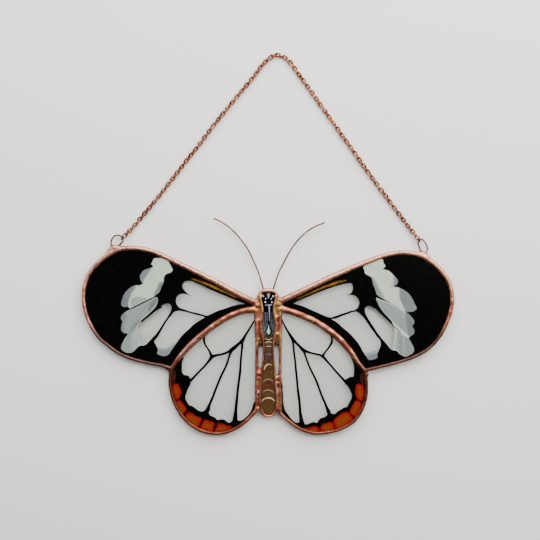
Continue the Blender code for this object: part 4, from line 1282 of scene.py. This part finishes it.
BODY_RIM_WIDTH = 1.5
BODY_RIM_WIDTHS = ((-28.0, 1.5), (-23.0, 1.0), (-9.0, 1.0), (-4.0, 1.5))
# Solder run between the beads: points with widths, and the share of a bead's height
SOLDER_FILLS = (
    (((-2.9, 17.7, 2.2), (0.1, 17.9, 2.6), (2.9, 17.7, 2.2)), 1.0),
    ((
        (-3.4, 17.2, 1.0), (-4.4, 13.6, 3.2), (-4.7, 10.0, 3.8), (-4.4, 5.0, 2.6), (-4.2, -2.0, 2.0),
        (-3.9, -9.2, 2.0)), 0.84),
    ((
        (3.6, 17.0, 1.0), (4.7, 13.6, 3.0), (5.0, 10.0, 3.4), (4.8, 5.0, 2.4), (4.6, -2.0, 2.0),
        (4.4, -9.0, 2.0)), 0.84),
    (((-4.3, -21.0, 2.0), (-4.6, -32.0, 2.0), (-4.7, -41.2, 1.8)), 0.84),
    (((4.8, -24.4, 1.8), (5.0, -33.0, 2.0), (5.1, -42.2, 2.0)), 0.84),
    (((-52.6, -19.5, 1.4), (-50.0, -20.8, 2.4), (-47.9, -22.8, 1.6)), 0.98),
    (((46.2, -20.2, 1.4), (48.2, -22.2, 2.6), (49.3, -25.2, 1.4)), 0.98),
    ((
        (-81.9, 34.9, 1.0), (-80.0, 37.1, 1.9), (-78.2, 38.6, 2.8), (-76.4, 39.2, 3.1),
        (-74.4, 39.0, 2.6), (-72.0, 38.9, 1.2)), 0.98),
    ((
        (73.6, 36.4, 1.2), (75.6, 36.2, 2.4), (77.6, 35.8, 3.0), (79.4, 34.8, 2.8),
        (81.4, 33.0, 1.4)), 0.98),
    (((-78.3, 38.6, 1.6), (-78.5, 39.6, 1.4), (-78.75, 41.0, 1.0)), 0.66),
    (((-75.6, 38.9, 1.6), (-75.3, 39.7, 1.4), (-74.4, 40.9, 0.9)), 0.66),
    (((77.9, 35.9, 1.6), (77.4, 37.1, 1.3), (76.6, 38.2, 0.9)), 0.66),
    (((79.0, 35.2, 1.6), (79.4, 36.6, 1.4), (79.7, 37.8, 0.9)), 0.66),
)
# Where solder pooled: x, y, radius across and height of the middle
SOLDER_BLOBS = (
    (-50.4, -20.6, 1.3, 3.4), (-48.4, -22.3, 1.4, 3.35), (48.0, -22.0, 1.4, 3.3),
    (49.4, -24.4, 1.1, 3.6), (-77.0, 38.7, 1.5, 3.2), (78.2, 35.4, 1.4, 3.3), (-5.9, 10.4, 2.0, 2.75),
    (5.9, 11.0, 2.0, 2.75), (-3.6, 15.2, 1.2, 3.4), (3.9, 15.0, 1.2, 3.4), (5.0, -25.8, 1.3, 3.5),
    (5.1, -28.6, 1.0, 3.7), (-4.7, -23.4, 1.3, 3.4), (-4.9, -26.0, 1.1, 3.5), (-5.0, -33.4, 1.0, 3.6),
    (-5.5, -41.2, 1.5, 3.2), (5.8, -41.6, 1.5, 3.2), (-4.6, 3.0, 1.0, 3.5), (4.9, 4.6, 1.1, 3.5),
    (4.7, -4.0, 1.0, 3.5))

# %% Sweep and fuse the solder
BEAD_STEP = 1.0
BEAD_TOP = 4.78
SOLDER_TOP = 4.86
WIDTH_CHANGE, WIDTH_CHANGES_PER_MM = 0.09, 0.35
HEIGHT_CHANGE, HEIGHT_CHANGES_PER_MM = 0.04, 0.3
HEIGHT_SEED = Vector((40.0, 0.0, 0.0))
VOXEL = 0.37
LUMPS = ((0.11, 2.3), (0.03, 0.95))

bead_points, bead_faces = [], []


def add_bead(route, closed=False, share=1.0):
    """Sweep the bead's profile along a route of x, y and width, with hand-made variations."""
    first = len(bead_points)
    count, sides = len(route), len(BEAD_PROFILE)
    for i, point in enumerate(route):
        before = route[i - 1] if closed or i > 0 else point
        after = route[(i + 1) % count] if closed or i < count - 1 else point
        along = Vector((after.x - before.x, after.y - before.y)).normalized()
        spot = Vector((point.x, point.y, 0.0))
        wider = 1.0 + WIDTH_CHANGE * noise.noise(spot * WIDTH_CHANGES_PER_MM)
        taller = share + HEIGHT_CHANGE * noise.noise(spot * HEIGHT_CHANGES_PER_MM + HEIGHT_SEED)
        for across, height in BEAD_PROFILE:
            reach = across * wider * point.z / 2
            top = min(height * taller, BEAD_TOP)
            bead_points.append((point.x + along.y * reach, point.y - along.x * reach, top))
    for i in range(count if closed else count - 1):
        here = first + i * sides
        there = first + ((i + 1) % count) * sides
        for k in range(sides):
            after = (k + 1) % sides
            bead_faces.append((here + k, here + after, there + after, there + k))
    if not closed:
        bead_faces.append(tuple(range(first, first + sides)))
        bead_faces.append(tuple(range(first + (count - 1) * sides, first + count * sides))[::-1])


body_rim = widened(smooth_path(BODY_WINDOW, BEAD_STEP, closed=True), BODY_RIM_WIDTH / 2)
rim_widths = np.interp([point.y for point in body_rim], *zip(*BODY_RIM_WIDTHS))
add_bead([Vector((*point, width)) for point, width in zip(body_rim, rim_widths)], closed=True)
for table in (FOREWING_EDGE, SEAM, HINDWING_EDGE, HINDWING_SIDE):
    for route in table.values():
        add_bead(smooth_path(route, BEAD_STEP))
for route, share in SOLDER_FILLS:
    add_bead(smooth_path(route, BEAD_STEP / 2), share=share)

solder_mesh = bpy.data.meshes.new("beads")
solder_mesh.from_pydata([Vector(point) * MM for point in bead_points], [], bead_faces)
shape = bmesh.new()
shape.from_mesh(solder_mesh)
for x, y, radius, height in SOLDER_BLOBS:
    for vertex in bmesh.ops.create_icosphere(shape, subdivisions=3, radius=radius * MM)["verts"]:
        vertex.co = Vector((vertex.co.x + x * MM, vertex.co.y + y * MM, vertex.co.z + height * MM))
bmesh.ops.recalc_face_normals(shape, faces=shape.faces[:])
shape.to_mesh(solder_mesh)
shape.free()
solder = add_object("beads", solder_mesh)

remesh = solder.modifiers.new("fuse", "REMESH")
remesh.mode = "VOXEL"
remesh.voxel_size = VOXEL * MM
soften = solder.modifiers.new("soften", "SMOOTH")
soften.factor = 0.5
soften.iterations = 3
solder = plain_mesh(solder, "copper_plated_solder_net")
skin = solder.data

spots, normals = (np.zeros(len(skin.vertices) * 3) for _ in range(2))
skin.vertices.foreach_get("co", spots)
skin.vertices.foreach_get("normal", normals)
spots, normals = spots.reshape(-1, 3), normals.reshape(-1, 3)
lumps = np.array([
    sum(size * noise.noise(Vector(spot) / (apart * MM)) for size, apart in LUMPS) for spot in spots])
spots += normals * lumps[:, None] * MM
spots[:, 2] = np.clip(spots[:, 2], 0.0, SOLDER_TOP * MM)
skin.vertices.foreach_set("co", spots.ravel())
skin.update()
skin.polygons.foreach_set("use_smooth", [True] * len(skin.polygons))
print("solder triangles:", 2 * len(skin.polygons), "top in mm:", round(spots[:, 2].max() / MM, 2))

# %% [markdown]
# Plated solder is copper a few hundredths of a millimetre thick, semi-gloss, so its roughness is
# 0.26 to 0.42. The bath covers unevenly: brown where it is thin, pale pink where it is thick. The
# first noise, with patches about 4 mm wide, gives that range. Two more, 8 mm and 7 mm wide, add a
# mauve cast that is commonest at the left wing's tip and a gold one that is commonest round the
# thorax. Places on the piece come from object coordinates, and three of them are painted light:
# the front edges are paler, a painted highlight of the window beyond the head; the forewings' lower
# edges are darker, painted shade where the beads mirror no light; and the hindwings' lower edges,
# away from the body, are browner, painted shade as well. Mirrored X does both wings with one distance.
#
# A fourth noise, about 1 mm wide, is the small dark pits where flux was trapped, and also a fine
# bump. Height above the glass darkens the foot of each bead: painted shade in the crease where the
# bead meets the glass.
# Each tint is laid over the ones before it, as far as its share says: from nothing at the first of
# its two numbers to its full strength at the second. Distances are in metres, as in the nodes.

# %% Solder material
THORAX = (0.001, 0.004, 0.004)
# The middle of the painted shade on the forewings' lower edges, in mirrored X.
LOWER_EDGE = (0.072, -0.021, 0.004)

solder_copper, tree, shader = start_material("copper-plated solder", Metallic=1.0)
place = add_node(tree, "ShaderNodeTexCoord").outputs["Object"]
patches, mauve, gold, pits = (
    add_node(tree, "ShaderNodeTexNoise", {
        "Vector": place, "Scale": scale, "Detail": detail, "Roughness": roughness})
    for scale, detail, roughness in (
        (260.0, 4.0, 0.55), (120.0, 3.0, 0.5), (150.0, 4.0, 0.5), (1000.0, 3.0, 0.7)))
sides = add_node(tree, "ShaderNodeSeparateXYZ", {"Vector": place}).outputs
from_middle = add_node(tree, "ShaderNodeMath", {0: sides["X"]}, operation="ABSOLUTE")
mirrored = add_node(tree, "ShaderNodeCombineXYZ", {
    "X": from_middle, "Y": sides["Y"], "Z": sides["Z"]})
to_thorax, to_lower_edge = (
    add_node(tree, "ShaderNodeVectorMath", {0: spot, 1: centre}, operation="DISTANCE").outputs["Value"]
    for spot, centre in ((place, THORAX), (mirrored, LOWER_EDGE)))
leftwards, near_thorax, off_middle, below, rough = (
    add_node(tree, "ShaderNodeMapRange", {
        "Value": value, "From Min": start, "From Max": end, "To Min": first, "To Max": last})
    for value, start, end, first, last in (
        (sides["X"], -0.065, -0.02, 0.09, -0.05),
        (to_thorax, 0.004, 0.022, 0.12, 0.0),
        (from_middle, 0.007, 0.014, 0.0, 1.0),
        (sides["Y"], -0.019, -0.026, 0.0, 1.0),
        (patches, 0.35, 0.65, 0.42, 0.26)))
mauve = add_node(tree, "ShaderNodeMath", {0: mauve, 1: leftwards}, operation="ADD")
gold = add_node(tree, "ShaderNodeMath", {0: gold, 1: near_thorax}, operation="ADD")
gold = add_node(tree, "ShaderNodeMath", {0: gold, 1: leftwards}, operation="SUBTRACT")
# Painted shade: the hindwings' lower edges, away from the body, are browner.
lower_hindwing_shade = add_node(tree, "ShaderNodeMath", {0: off_middle, 1: below}, operation="MULTIPLY")

TINTS = (
    # Painted highlight: the front edges are paler, as where the beads mirror the window beyond the
    # head.
    (sides["Y"], 0.010, 0.020, 0.7, "#D89E84"),
    (mauve, 0.50, 0.68, 0.7, "#B67F76"),
    (gold, 0.62, 0.76, 0.8, "#BA9452"),
    # Painted shade: the forewings' lower edges are darker, where the beads mirror no light.
    (to_lower_edge, 0.030, 0.021, 0.92, "#42322A"),
    # Painted shade on the hindwings' lower edges.
    (lower_hindwing_shade, 0.0, 1.0, 0.85, "#5E3122"),
    # Painted shade: the foot of each bead is darker, in the crease against the glass.
    (sides["Z"], 0.0045, 0.00375, 0.45, "#48201A"),
    (pits, 0.55, 0.66, 0.75, "#3E1E16"),
)
colour = add_node(tree, "ShaderNodeValToRGB", {"Fac": patches}, [
    (0.34, "#763C2C"), (0.47, "#96543F"), (0.57, "#A86650"), (0.70, "#C08470")]).outputs[0]
for value, start, end, strength, tint in TINTS:
    share = add_node(tree, "ShaderNodeMapRange", {
        "Value": value, "From Min": start, "From Max": end, "To Max": strength})
    tinted = add_node(tree, "ShaderNodeMix", {0: share, 6: colour, 7: linear(tint)}, data_type="RGBA")
    colour = tinted.outputs[2]
bump = add_node(tree, "ShaderNodeBump", {"Height": pits, "Strength": 0.9, "Distance": 0.18 * MM})
tree.links.new(colour, shader.inputs["Base Color"])
tree.links.new(rough.outputs[0], shader.inputs["Roughness"])
tree.links.new(bump.outputs[0], shader.inputs["Normal"])

skin.materials.clear()
skin.materials.append(solder_copper)
hand_over(solder, "solder_frame")
print("solder tints:", len(TINTS))
